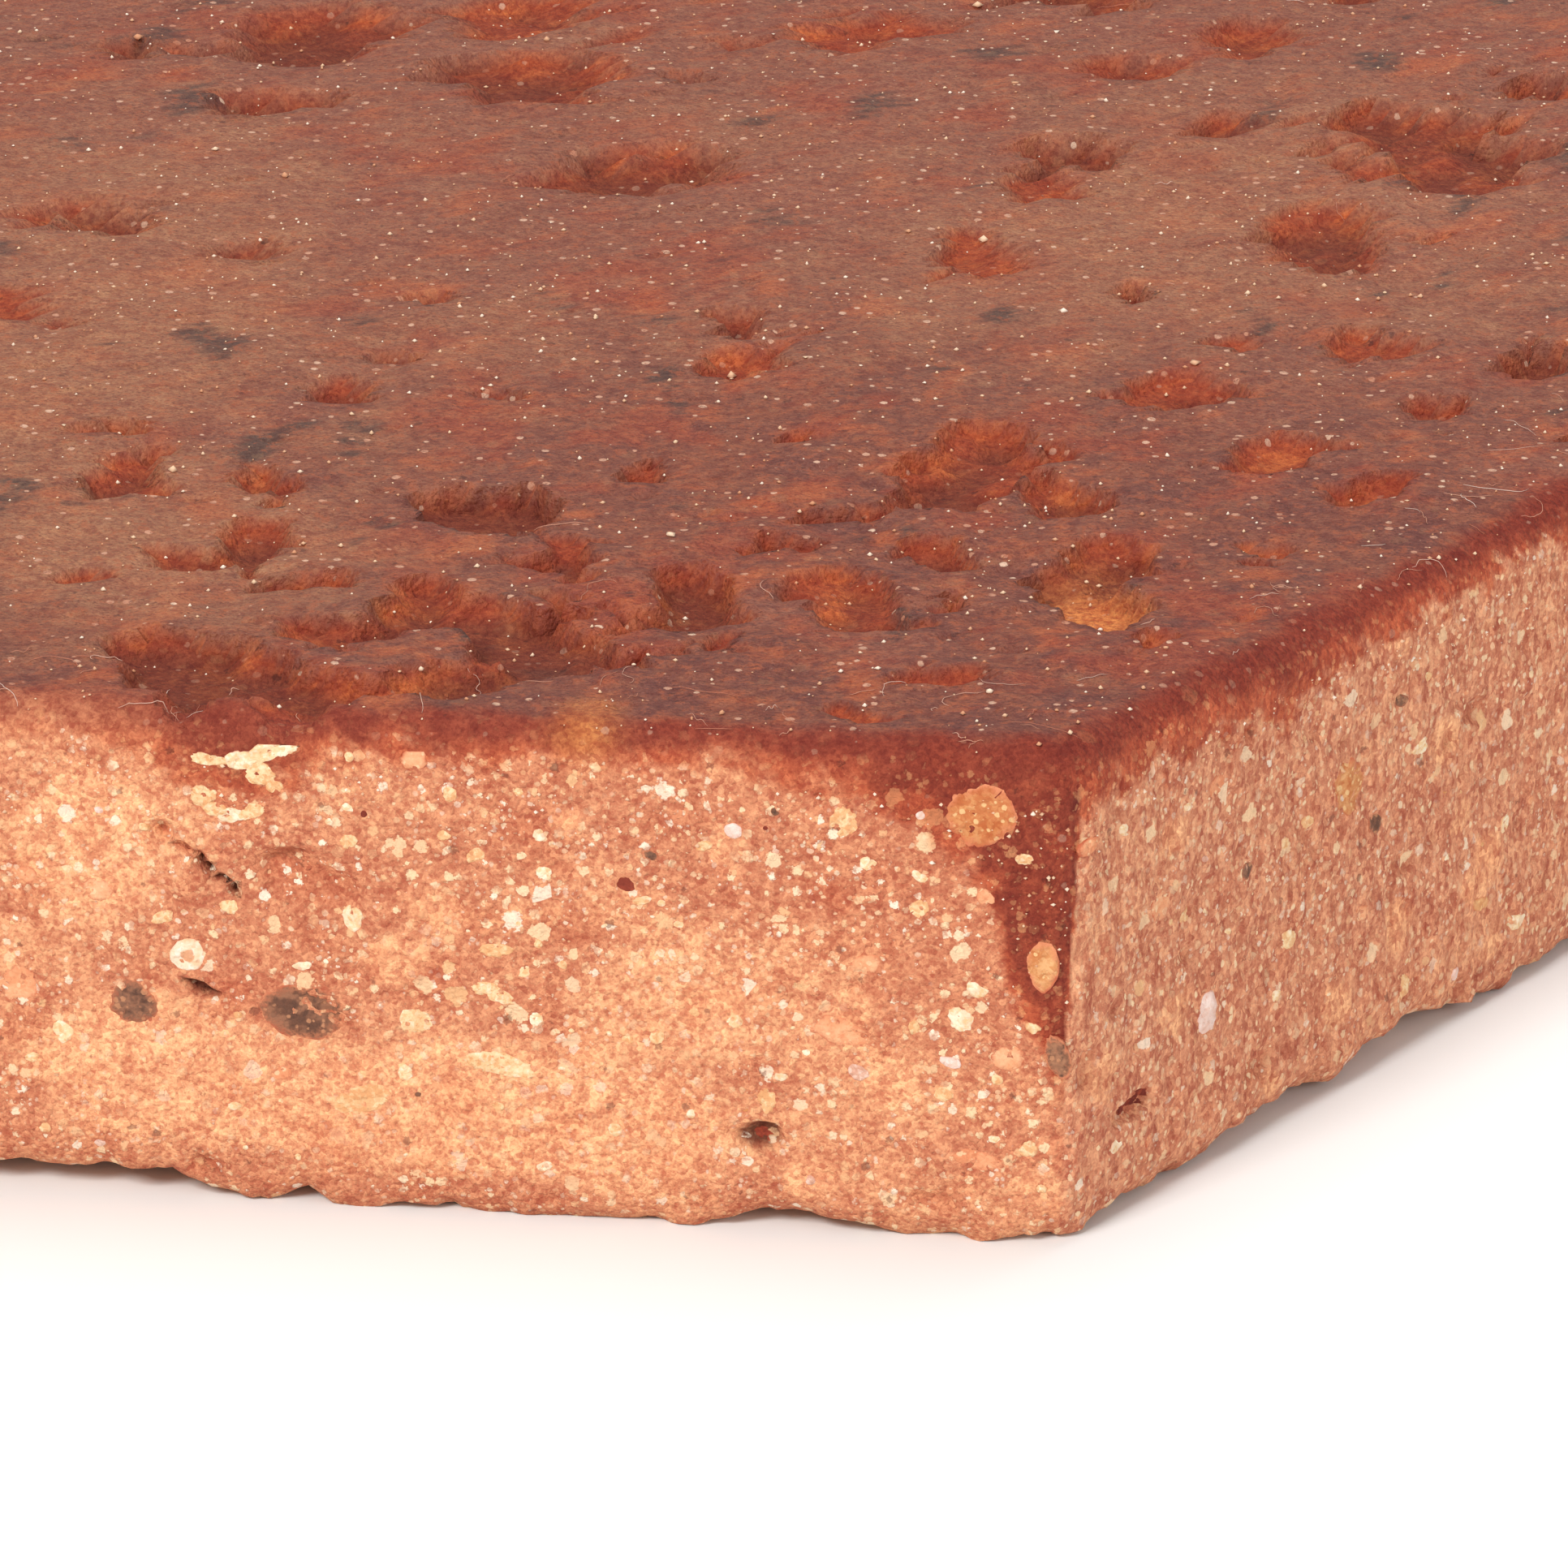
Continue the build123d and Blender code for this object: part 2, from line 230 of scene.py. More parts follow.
# ------------------------------------------------------------------ wear face
# Hollows: x, y, width, length away from the eye, depth
HOLLOWS = [(24.0, -94.3, 4.2, 4.5, .50), (28.8, -96.6, 5.8, 2.6, .45), (34.4, -95.9, 2.7, 2.6, .40), (33.0, -89.3, 5.8, 3.7, .62), (31.2, -86.1, 2.2, 2.6, .35),
           (23.1, -83.9, 3.1, 2.3, .40), (27.0, -85.8, 3.4, 1.7, .38), (24.2, -82.2, 1.9, 2.7, .35), (31.8, -76.9, 4.7, 3.3, .70), (37.6, -92.0, 4.6, 4.6, .60),
           (41.6, -85.5, 3.4, 5.6, .50), (47.4, -83.6, 2.5, 2.6, .34), (47.9, -87.4, 3.7, 2.5, .40), (50.7, -79.7, 2.8, 1.9, .35), (49.7, -72.9, 3.2, 3.2, .45),
           (46.1, -76.2, 2.2, 1.8, .30), (56.3, -84.3, 4.0, 4.4, .62), (56.9, -79.3, 3.4, 3.0, .45), (62.4, -79.2, 1.6, 1.2, .30), (62.9, -77.3, 1.6, 1.2, .25),
           (52.3, -92.8, 2.4, 1.3, .25), (49.2, -96.4, 1.8, 1.4, .20), (59.2, -87.7, 1.7, 1.3, .38), (51.2, -68.8, 4.5, 5.6, .40), (54.7, -73.0, 2.8, 2.7, .50),
           (62.3, -67.4, 3.5, 3.8, .35), (57.8, -60.7, 3.9, 3.5, .35), (55.0, -48.6, 1.7, 2.1, .60), (59.6, -53.8, 1.7, 1.6, .30), (72.3, -54.0, 2.0, 3.0, .60),
           (62.8, -40.4, 4.1, 6.5, .45), (26.1, -53.0, 1.0, 2.1, .35), (25.1, -59.5, 2.0, 1.6, .35), (24.6, -64.5, 2.3, 2.0, .30), (16.1, -70.3, 2.6, 1.9, .40),
           (17.8, -75.4, 2.2, 3.7, .40), (23.4, -74.7, 1.6, 3.3, .40), (40.0, -59.4, 3.3, 3.0, .35), (39.2, -53.9, 2.0, 2.5, .40), (32.3, -34.3, 6.4, 4.6, .50),
           (47.8, -43.4, 3.1, 4.3, .30), (67.6, -29.7, 4.2, 5.7, .35), (65.6, -53.7, 3.0, 3.0, .35), (17.2, -47.4, 2.1, 2.2, .30), (30.4, -64.3, 2.0, 1.8, .30),
           (18.3, -86.3, 1.9, 1.0, .25), (50.4, -35.3, 2.8, 3.4, .30), (36.2, -82.0, 2.6, 2.4, .35), (28.4, -91.2, 1.8, 1.6, .30), (66.5, -71.0, 2.6, 2.2, .35),
           (44.2, -79.6, 1.6, 1.6, .30), (38.2, -72.2, 2.2, 1.8, .30), (43.2, -68.0, 1.8, 1.5, .30), (68.5, -60.5, 3.0, 2.6, .40), (74.5, -63.0, 2.0, 1.8, .30)]
_r = random.Random(1203)
for _ in range(70):
    cx, cy, spread = _r.uniform(-105, 105), _r.uniform(-92, 92), _r.uniform(4, 11)
    for _ in range(_r.randint(2, 9)):
        x, y = _r.gauss(cx, spread), _r.gauss(cy, spread * .7)
        reach = max(abs(y), abs(x * R3 / 2 + y / 2), abs(x * R3 / 2 - y / 2))
        if reach > 96.2 or (10 < x < 82 and y < -30):
            continue
        w = _r.uniform(1.2, 5.5)
        HOLLOWS.append((x, y, w, w * _r.uniform(.55, 1.1), _r.uniform(.25, .65)))
HOLLOWS = np.array(HOLLOWS)
EYE = math.radians(7.4)


def hollows(P):
    """0 on the smooth film, 1 inside a hollow, how deep the hollow is there, and how broken the ground is."""
    z0 = np.zeros(len(P))
    W = P + np.c_[perlin(P, 3.2, 51), perlin(P, 3.2, 52), z0] * 1.25 + np.c_[perlin(P, 1.2, 53), perlin(P, 1.2, 54), z0] * 0.55
    g, deep, wide = z0.copy(), z0.copy(), z0.copy()
    ce, se = math.cos(EYE), math.sin(EYE)
    for a in range(0, len(P), 16000):
        q = W[a:a + 16000]
        dx = q[:, None, 0] - HOLLOWS[None, :, 0]
        dy = q[:, None, 1] - HOLLOWS[None, :, 1]
        r2 = ((dx * ce + dy * se) / (HOLLOWS[:, 2] * 0.52)) ** 2 + ((-dx * se + dy * ce) / (HOLLOWS[:, 3] * 0.56)) ** 2
        e = np.exp(-0.75 * r2)
        g[a:a + 16000] = e.sum(1)
        deep[a:a + 16000] = (e * HOLLOWS[:, 4]).sum(1) / (e.sum(1) + 1e-9)
        wide[a:a + 16000] = np.exp(-0.16 * r2).sum(1)
    zone = np.clip(0.9 * np.clip(wide, 0, 1) + 0.5 * perlin(P, 14.0, 57), 0, 1)
    F = np.clip(g, 0, 1.15) + (0.46 + 0.26 * zone) * fbm(P, 3.0, 3, 55, 0.62) + 0.16 * (zone - 0.4)
    m = sstep(0.40, 0.50, F)
    return m, deep * (0.62 + 0.80 * sstep(0.40, 0.95, F)), zone


def top_dip(P):
    m, deep, zone = hollows(P)
    d = 0.20 + 0.26 * fbm(P, 24.0, 2, 61) + (0.10 + 0.34 * zone) * fbm(P, 5.5, 4, 62, 0.55) + (0.055 + 0.05 * zone) * perlin(P, 1.9, 63) + 0.026 * perlin(P, 0.9, 64)
    inside = deep * (1.45 + 0.7 * perlin(P, 1.9, 65)) + 0.06 * perlin(P, 1.0, 66) + 0.12
    d = d + m * np.clip(inside, 0.10, 1.15)
    w1, v1 = worley(P, 2.3, 71)
    d = d + 0.22 * sstep(0.20, 0.06, w1) * (v1 > 0.5)
    # lips: film stands a little proud round each hollow
    d = d - 0.07 * sstep(0.0, 0.4, m) * sstep(0.9, 0.4, m)
    return np.clip(d, 0.0, 1.38), m


# ------------------------------------------------------------------ vertex colours
C_MATRIX, C_PEACH, C_TAN = srgb(206, 129, 94), srgb(236, 165, 120), srgb(213, 139, 105)
C_RED, C_STAIN, C_STAIN2 = srgb(194, 98, 66), srgb(138, 55, 36), srgb(186, 90, 57)
C_FILM, C_FILM2, C_DUSTY = srgb(114, 59, 48), srgb(133, 71, 49), srgb(147, 85, 65)
# the last of these three is painted shade: the near-black put into the cracks and the deepest parts of the hollows
C_HOLLOW, C_HOLLOW2, C_PAINTED_SHADE = srgb(150, 60, 32), srgb(190, 92, 44), srgb(78, 34, 24)
C_HAZE, C_FAR = srgb(168, 111, 78), srgb(140, 82, 61)


def mix(a, b, t):
    t = np.asarray(t)[:, None]
    return a * (1 - t) + b * t


def side_colour(P, bound_stain, mask, crack):
    f, s = along(P[:, :2])
    z = P[:, 2]
    n = len(P)
    zone = 0.5 + 0.75 * fbm(P, (10, 10, 5), 3, 101)
    x = s - SIDE / 2
    for (cx, cz, rx, rz, k) in [(26, 4.6, 6.0, 2.3, .9), (40.4, 4.4, 6.5, 2.0, .9), (21.5, 15.0, 4.0, 2.6, .6), (37, 3.0, 9, 1.6, .5), (44, 8.0, 5.0, 1.4, .3),
                                (28, 11.5, 5, 2.5, -.35), (50, 15.6, 7, 1.6, -.5), (40, 16.4, 8, 1.2, -.35), (54, 12, 3, 3.5, -.45), (34, 14.0, 6, 1.6, -.2), (52, 1.8, 7, 1.6, .15), (18, 9.5, 4, 1.4, .3)]:
        q = ((x - cx) / rx) ** 2 + ((z - cz) / rz) ** 2
        zone = zone + np.where(f == 0, k * np.exp(-q), 0)
    zone = np.clip(zone, 0, 1)
    peach = sstep(0.35, 0.95, zone)
    c = mix(np.tile(C_MATRIX, (n, 1)), C_PEACH, peach)
    c = mix(c, C_RED, 0.45 * sstep(0.1, 0.6, fbm(P, (4, 4, 2.5), 3, 103)) * (1 - peach))
    c = np.where((f != 0)[:, None], mix(c, C_TAN, np.full(n, 0.66)), c)
    c = mix(c, C_RED * 0.9, 0.30 * mask)
    # painted shade: the deep cracks are painted near-black, as their shadow
    c = mix(c, C_PAINTED_SHADE, 0.85 * sstep(0.35, 0.75, mask) * crack)
    # smooth clay pellets, faint
    w1, v1 = worley(P + 0.3 * np.c_[perlin(P, .9, 108), perlin(P, .9, 109), perlin(P, .9, 110)], 3.1, 105)
    pel = sstep(0.40, 0.28, w1) * (v1 > 0.72)
    c = mix(c, C_PEACH * 1.02, 0.75 * pel)
    soft = np.where(f == 0, 1.5, 0.6)
    wob = 0.9 * fbm(P, 1.8, 3, 111, 0.6) + 1.1 * perlin(P, 0.55, 113)
    st = np.clip((z - bound_stain + wob) / soft + 0.35, 0, 1)
    st = st * st * (3 - 2 * st)
    stc = mix(np.tile(C_STAIN2, (n, 1)), C_STAIN, sstep(0.25, 1.1, np.clip((z - bound_stain) / 2.4, 0, 1) + 0.8 * fbm(P, 1.4, 4, 112, 0.65)))
    stc = stc * (1 - np.array([0.12, 0.30, 0.34]) * (np.where(f == 0, sstep(0, 16, x - 40), 1.0) * sstep(-2, 2, z - bound_stain))[:, None])
    stc = mix(stc, srgb(200, 124, 88), 0.62 * np.where(f == 0, sstep(2, 8, x) * (1 - sstep(19, 26, x)), 0.0))
    c = mix(c, stc, st * 0.97)
    spk = 0.98 - 0.58 * peach - 0.42 * st - 0.9 * pel
    for (cx, cz, rx, rz, k) in [(21.5, 15.0, 4.0, 2.6, .75), (36.5, 12.5, 4.0, 1.6, .4), (46, 11, 5, 2, .3), (54, 4.5, 5, 4, .35)]:
        spk = spk + np.where(f == 0, k * np.exp(-((x - cx) / rx) ** 2 - ((z - cz) / rz) ** 2), 0)
    spk = np.clip(spk, 0, 1)
    return c, spk, st


def top_colour(P, m, dip):
    n = len(P)
    far = sstep(-96, -40, P[:, 1] - 0.15 * P[:, 0])
    mott = fbm(P, (3.2, 3.2, 3), 4, 121, 0.7) + 0.5 * fbm(P, 0.9, 3, 133, 0.7)
    c = mix(np.tile(C_FILM * 0.94, (n, 1)), C_FILM2 * 1.04, np.clip(0.5 + 1.5 * mott, 0, 1))
    seen = np.exp(-(((P[:, 0] - 45) / 75) ** 2 + ((P[:, 1] + 85) / 60) ** 2))
    c = mix(c, C_FAR, np.clip(far * 0.8 + (1 - seen) * 0.35 + 0.35 * fbm(P, 18, 2, 122), 0, 1))
    dusty = sstep(0.0, 0.5, fbm(P, (9, 9, 9), 4, 123, 0.6))
    c = mix(c, C_DUSTY, 0.45 * dusty)
    red = sstep(0.04, 0.28, fbm(P, (4.5, 5.5, 6), 5, 124, 0.68))
    c = mix(c, C_HOLLOW * 1.02, 0.62 * red)
    gold = sstep(0.14, 0.36, fbm(P, (3.4, 4.5, 5), 5, 131, 0.66))
    c = mix(c, C_HOLLOW2, 0.50 * gold)
    haze = 0.0
    for (cx, cy, rx, ry, k) in [(14, -62, 9, 20, .75), (20, -84, 9, 8, .85), (56, -38, 11, 16, .75), (10, -40, 10, 14, .5), (30, -58, 8, 8, .35), (48, -52, 7, 6, .35), (70, -44, 5, 9, .3)]:
        haze = haze + k * np.exp(-((P[:, 0] - cx) / rx) ** 2 - ((P[:, 1] - cy) / ry) ** 2)
    other = sstep(0.25, 0.7, fbm(P, 19, 2, 125)) * (1 - seen) * 0.7
    haze = np.clip(haze + other + 0.8 * fbm(P, 4, 4, 126, 0.6) * (haze > 0.1), 0, 1)
    c = mix(c, C_HAZE, haze * 0.70)
    hc = mix(np.tile(C_HOLLOW, (n, 1)), C_HOLLOW2, sstep(-0.1, 0.5, fbm(P, 2.0, 4, 127, 0.6)))
    # painted shade: the deepest parts of each hollow are darkened, as their shadow
    hc = mix(hc, C_PAINTED_SHADE, sstep(0.65, 1.25, dip) * 0.60)
    # the smooth bright orange hollow near the corner, and the ochre pellet on the arris
    q = ((P[:, 0] - 56.6) / 2.6) ** 2 + ((P[:, 1] + 83.6) / 2.8) ** 2
    hc = mix(hc, srgb(206, 118, 62), np.exp(-q))
    c = mix(c, hc, m * 0.94)
    grey = sstep(0.60, 0.82, perlin(P, (3.0, 4.4, 3), 129) + 0.35 * perlin(P, 0.9, 132))
    c = mix(c, srgb(74, 54, 47), 0.78 * grey * (1 - 0.6 * m))
    q = np.exp(-(((P[:, 0] - 39.6) / 1.1) ** 2 + ((P[:, 1] + 98.0) / 1.3) ** 2) ** 2)
    c = mix(c, srgb(186, 108, 58), q * 0.85)
    # film wears to red towards the arris
    reach = np.maximum(np.abs(P[:, 1]), np.maximum(np.abs(P[:, 0] * R3 / 2 + P[:, 1] / 2), np.abs(P[:, 0] * R3 / 2 - P[:, 1] / 2)))
    edge = sstep(97.7, 99.0, reach + 1.0 * fbm(P, 2.2, 4, 130, 0.6))
    f_, s_ = along(P[:, :2])
    worn_c = C_STAIN * (1 - np.array([0.14, 0.32, 0.36]) * np.where(f_ == 0, sstep(0, 16, s_ - SIDE / 2 - 40), 1.0)[:, None])
    x_ = s_ - SIDE / 2
    worn_c = mix(worn_c, srgb(196, 120, 86), 0.55 * np.where(f_ == 0, sstep(2, 8, x_) * (1 - sstep(19, 26, x_)), 0.0))
    c = mix(c, worn_c, edge * 0.95)
    film = np.clip(1 - m - edge, 0, 1)
    return c, film, edge


# ------------------------------------------------------------------ mesh lines
def lines(first, near, step, grow, widest, length):
    """Distances from 0 to length: fine up to `near`, then growing."""
    s, out, h = 0.0, [0.0], step
    while s < length:
        h = first if s < 3 else (step if s < near else min(h * grow, widest))
        s += h
        out.append(s)
    out = np.array(out)
    return out * (length / out[-1])


L_IN = 2 * A_IN / R3
FINE = 1.0
U = lines(0.22 * FINE, 41, 0.30 * FINE, 1.02, 0.85 * FINE, L_IN)
V = lines(0.22 * FINE, 36, 0.30 * FINE, 1.02, 0.85 * FINE, L_IN)
Wn = max(24, int(118 / FINE))
W = np.linspace(0, L_IN, Wn)
RV = 2 * A_IN / R3


def vert(deg, r=RV):
    return np.array([math.cos(math.radians(deg)), math.sin(math.radians(deg))]) * r


e1, e2, e3 = np.array([-1.0, 0.0]), np.array([0.5, R3 / 2]), np.array([-0.5, R3 / 2])


def grid(o, a, ea, b, eb):
    return (o + a[:, None, None] * ea + b[None, :, None] * eb).reshape(-1, 2)


gA, gB, gC = grid(vert(-60), U, e1, V, e2), grid(vert(0), U, e1, W, e3), grid(vert(240), V, e2, W, e3)
per = np.concatenate([(vert(-60) + U[:, None] * e1)[::-1][:-1], (vert(-60) + V[:, None] * e2)[:-1], (vert(0) + W[:, None] * e3)[:-1],
                      (vert(60) + U[:, None] * e1)[:-1], (vert(180) + V[:, None] * e2)[::-1][:-1], (vert(240) + W[:, None] * e3)[::-1][:-1]])
allp = np.concatenate([gA, gB, gC, per])
key = np.round(allp * 2000).astype(np.int64)
_, first_i, inv = np.unique(key[:, 0] * 10000019 + key[:, 1], return_index=True, return_inverse=True)
TOP2 = allp[first_i]
nA, nB, nC = len(gA), len(gB), len(gC)
iA, iB, iC, iP = inv[:nA].reshape(len(U), len(V)), inv[nA:nA + nB].reshape(len(U), len(W)), inv[nA + nB:nA + nB + nC].reshape(len(V), len(W)), inv[nA + nB + nC:]
NP = len(iP)


def quads(g, flip):
    a, b, c, d = g[:-1, :-1], g[1:, :-1], g[1:, 1:], g[:-1, 1:]
    q = np.stack([a, b, c, d], -1).reshape(-1, 4)
    return q[:, ::-1] if flip else q


top_quads = np.concatenate([quads(iA, True), quads(iB, True), quads(iC, False)])
# pull the grid onto the softened outline
phi = np.arctan2(TOP2[:, 1], TOP2[:, 0])
sharp, soft = rho(phi, A_IN, 4000), rho(phi, A_IN, 190)
t = np.hypot(TOP2[:, 0], TOP2[:, 1]) / sharp
TOP2 = TOP2 * (1 + (soft / sharp - 1) * t ** 12)[:, None]
TOPP = np.c_[TOP2, np.full(len(TOP2), THICK)]
phiP = np.arctan2(TOP2[iP, 1], TOP2[iP, 0])
IN2 = TOP2[iP]
OUT2 = (rho(phiP, A_OUT, 235))[:, None] * np.c_[np.cos(phiP), np.sin(phiP)]
tan = np.roll(OUT2, -1, 0) - np.roll(OUT2, 1, 0)
nrm = np.c_[tan[:, 1], -tan[:, 0]]
nrm /= np.linalg.norm(nrm, axis=1)[:, None]
BOUND, STAINZ = lower_edge(OUT2), stain_edge(OUT2)

# wear face
dip, mh = top_dip(TOPP)
top_xyz = TOPP - np.c_[np.zeros(len(dip)), np.zeros(len(dip)), dip]
ctop, film, worn = top_colour(TOPP, mh, dip)

# arris rows, then the side rows down to the broken edge
ROWS_A = 9
rows, row_n = [], []
for k in range(1, ROWS_A + 1):
    th = math.pi / 2 * k / ROWS_A
    rows.append(np.c_[IN2 + (OUT2 - IN2) * math.sin(th), np.full(NP, THICK - ARRIS + ARRIS * math.cos(th))])
    row_n.append(np.c_[nrm * math.sin(th), np.full(NP, math.cos(th))])
zs = np.linspace(THICK - ARRIS, 0, int(76 / FINE) + 1)[1:]
SEAM_Z = 16.9
for z in zs:
    zz = BOUND + (THICK - ARRIS - BOUND) * (z / (THICK - ARRIS))
    rows.append(np.c_[OUT2, zz])
    row_n.append(np.c_[nrm, np.zeros(NP)])
rows, row_n = np.array(rows), np.array(row_n)
nr = len(rows)
flat, flatn = rows.reshape(-1, 3), row_n.reshape(-1, 3)
bnd = np.tile(BOUND, nr)
stz = np.tile(STAINZ, nr)
dS, mS, kS = side_dip(flat, bnd)
# near the wear face the worn depth turns into the wear face's own
flat2 = np.c_[flat[:, :2], np.full(len(flat), THICK)]
dT, mT = top_dip(np.c_[(flat[:, :2] - flatn[:, :2] * 0.6), np.full(len(flat), THICK)])
wt = sstep(0.25, 0.95, flatn[:, 2])
arris_wave = 0.18 + 0.14 * perlin(flat, 5.0, 81) + 0.08 * perlin(flat, 1.8, 82) + 0.06 * perlin(flat, 0.8, 84)
wa = np.where(flatn[:, 2] > 0.001, 1 - wt, 0) * 0.6
d = dS * (1 - wt) * (1 - wa) + arris_wave * wa * (1 - wt) + dT * wt
side_xyz = flat - flatn * d[:, None]
cS, spS, stS = side_colour(flat, stz, mS, kS)
cT, fT, eT = top_colour(np.c_[flat[:, :2], np.full(len(flat), THICK)], mT * (flatn[:, 2] > 0.5), dT)
wf = sstep(0.28, 0.78, flatn[:, 2] + 0.40 * fbm(flat, 1.6, 3, 83)) * (flatn[:, 2] > 0.001)
cSide = mix(cS, cT, wf)
spS = spS * (1 - wf)
skS = (along(flat[:, :2])[0] != 0).astype(float) * (1 - wf)
q = np.exp(-(((flat[:, 0] - 39.6) / 1.1) ** 2 + ((flat[:, 1] + 99.2) / 1.0) ** 2 + ((flat[:, 2] - 19.4) / 1.2) ** 2))
cSide = mix(cSide, srgb(198, 118, 64), q * 0.8)


def ring(k):
    return np.arange(NP) + k * NP


def ring_quads(a, b):
    """Faces between two rings that run counter-clockwise, b below or outside a, facing out."""
    return np.stack([a, b, np.roll(b, -1), np.roll(a, -1)], 1)


def make_mesh(name, xyz, faces, attrs, sharp=55):
    """A mesh in metres from lists in mm. faces is a list of arrays of 3 or 4 indices."""
    xyz = np.clip(xyz, [-115.05, -99.99, 0.0], [115.05, 99.99, 19.998])
    used = np.unique(np.concatenate([f.ravel() for f in faces]))
    remap = np.full(len(xyz), -1, np.int64)
    remap[used] = np.arange(len(used))
    me = bpy.data.meshes.new(name)
    me.vertices.add(len(used))
    me.vertices.foreach_set("co", (xyz[used] * 0.001).astype(np.float32).ravel())
    loops = np.concatenate([remap[f].ravel() for f in faces])
    sizes = np.concatenate([np.full(len(f), f.shape[1]) for f in faces])
    me.loops.add(len(loops))
    me.loops.foreach_set("vertex_index", loops.astype(np.int32))
    me.polygons.add(len(sizes))
    starts = np.concatenate([[0], np.cumsum(sizes)[:-1]])
    me.polygons.foreach_set("loop_start", starts.astype(np.int32))
    me.polygons.foreach_set("use_smooth", np.ones(len(sizes), bool))
    me.update(calc_edges=True)
    me.validate()
    if sharp:
        me.set_sharp_from_angle(angle=math.radians(sharp))
    for key_, val in attrs.items():
        val = val[used]
        if val.ndim == 2:
            at = me.color_attributes.new(key_, "FLOAT_COLOR", "POINT")
            at.data.foreach_set("color", np.c_[val, np.ones(len(val))].astype(np.float32).ravel())
        else:
            at = me.attributes.new(key_, "FLOAT", "POINT")
            at.data.foreach_set("value", val.astype(np.float32))
    ob = bpy.data.objects.new(name, me)
    bpy.context.scene.collection.objects.link(ob)
    return ob


seam_row = ROWS_A - 1 + int(np.argmin(np.abs(zs - SEAM_Z))) + 1
# ---- the sealed skin: wear face, arris and the top of the sides, as a thin closed shell
nt = len(top_xyz)
seam_out = side_xyz[ring(seam_row)]
lip = seam_out - np.c_[nrm * 0.5, np.zeros(NP)]
in1 = np.c_[OUT2 - nrm * 1.5, np.full(NP, 17.6)]
in2 = np.c_[IN2 * 0.985, np.full(NP, 18.45)]
in3 = np.c_[IN2 * 0.70, np.full(NP, 18.45)]
xyz = np.concatenate([top_xyz, side_xyz[:(seam_row + 1) * NP], lip, in1, in2, in3, [[0, 0, 18.45]]])
base = nt + (seam_row + 1) * NP
f = [top_quads, ring_quads(iP, nt + ring(0))]
f += [ring_quads(nt + ring(k), nt + ring(k + 1)) for k in range(seam_row)]
f += [ring_quads(nt + ring(seam_row), base + ring(0))] + [ring_quads(base + ring(k), base + ring(k + 1)) for k in range(3)]
r = base + ring(3)
f += [np.stack([r, np.full(NP, base + 4 * NP), np.roll(r, -1)], 1)]
pad = np.tile(C_STAIN, (4 * NP + 1, 1))
z1 = np.zeros(4 * NP + 1)
skin = make_mesh("sealed_skin_worn", xyz, f, {
    "tone": np.concatenate([ctop, cSide[:(seam_row + 1) * NP], pad]),
    "specks": np.concatenate([np.zeros(nt), spS[:(seam_row + 1) * NP], z1]),
    "streak": np.concatenate([np.zeros(nt), skS[:(seam_row + 1) * NP], z1]),
    "film": np.concatenate([film, (fT * wf)[:(seam_row + 1) * NP], z1]),
    "soak": np.concatenate([np.ones(nt), np.maximum(stS, wf)[:(seam_row + 1) * NP], z1 + 1])})

# ---- the clay body: the sides below the seam, the rough bed face, and a plain face under the skin
nb = nr - seam_row
body_rows = side_xyz.reshape(nr, NP, 3)[seam_row:]
step1 = seam_out - np.c_[nrm * 0.53, np.zeros(NP)]
step2 = np.c_[OUT2 - nrm * 1.56, np.full(NP, 17.5)]
step3 = np.c_[IN2 * 0.98, np.full(NP, 18.34)]
under, under_t = [], []
last = body_rows[-1]
insets = [0.25, 0.6, 1.05, 1.6, 2.3, 3.2, 4.4, 5.9, 7.6]
for ins in insets:
    P2 = last[:, :2] - nrm * ins
    P3 = np.c_[P2, np.zeros(NP)]
    rough = 0.10 + 0.16 * fbm(P3, 5, 3, 141) + 0.06 * perlin(P3, 0.9, 142)
    zz = BOUND * np.exp(-(ins / 1.9)) + rough * (1 - math.exp(-ins / 1.5)) + 0.10 * perlin(P3, 0.8, 143) * math.exp(-ins / 2.0)
    under.append(np.c_[P2, np.clip(zz, 0.0, None)])
xyz = [body_rows.reshape(-1, 3), step1, step2, step3, np.array([[0, 0, 18.34]])] + under
off = nb * NP
f = [ring_quads(ring(k), ring(k + 1)) for k in range(nb - 1)]
f += [ring_quads(off + ring(0), ring(0)), ring_quads(off + ring(1), off + ring(0)), ring_quads(off + ring(2), off + ring(1))]
r = off + ring(2)
f += [np.stack([np.full(NP, off + 3 * NP), r, np.roll(r, -1)], 1)]
ub = off + 3 * NP + 1
f += [ring_quads(ring(nb - 1), ub + ring(0))] + [ring_quads(ub + ring(k), ub + ring(k + 1)) for k in range(len(insets) - 1)]


def stitch(a, ta, b, tb):
    """Triangles between an outer ring a and an inner ring b, each with its turn from 0 to 1, facing down."""
    out, i, j, na, nb_ = [], 0, 0, len(a), len(b)
    while i < na or j < nb_:
        x = ta[i + 1] if i + 1 < na else 1 + ta[0] + (i + 1 - na) * 9
        y = tb[j + 1] if j + 1 < nb_ else 1 + tb[0] + (j + 1 - nb_) * 9
        if (x <= y and i < na) or j >= nb_:
            out.append((a[i % na], b[j % nb_], a[(i + 1) % na]))
            i += 1
        else:
            out.append((a[i % na], b[j % nb_], b[(j + 1) % nb_]))
            j += 1
    return np.array(out)


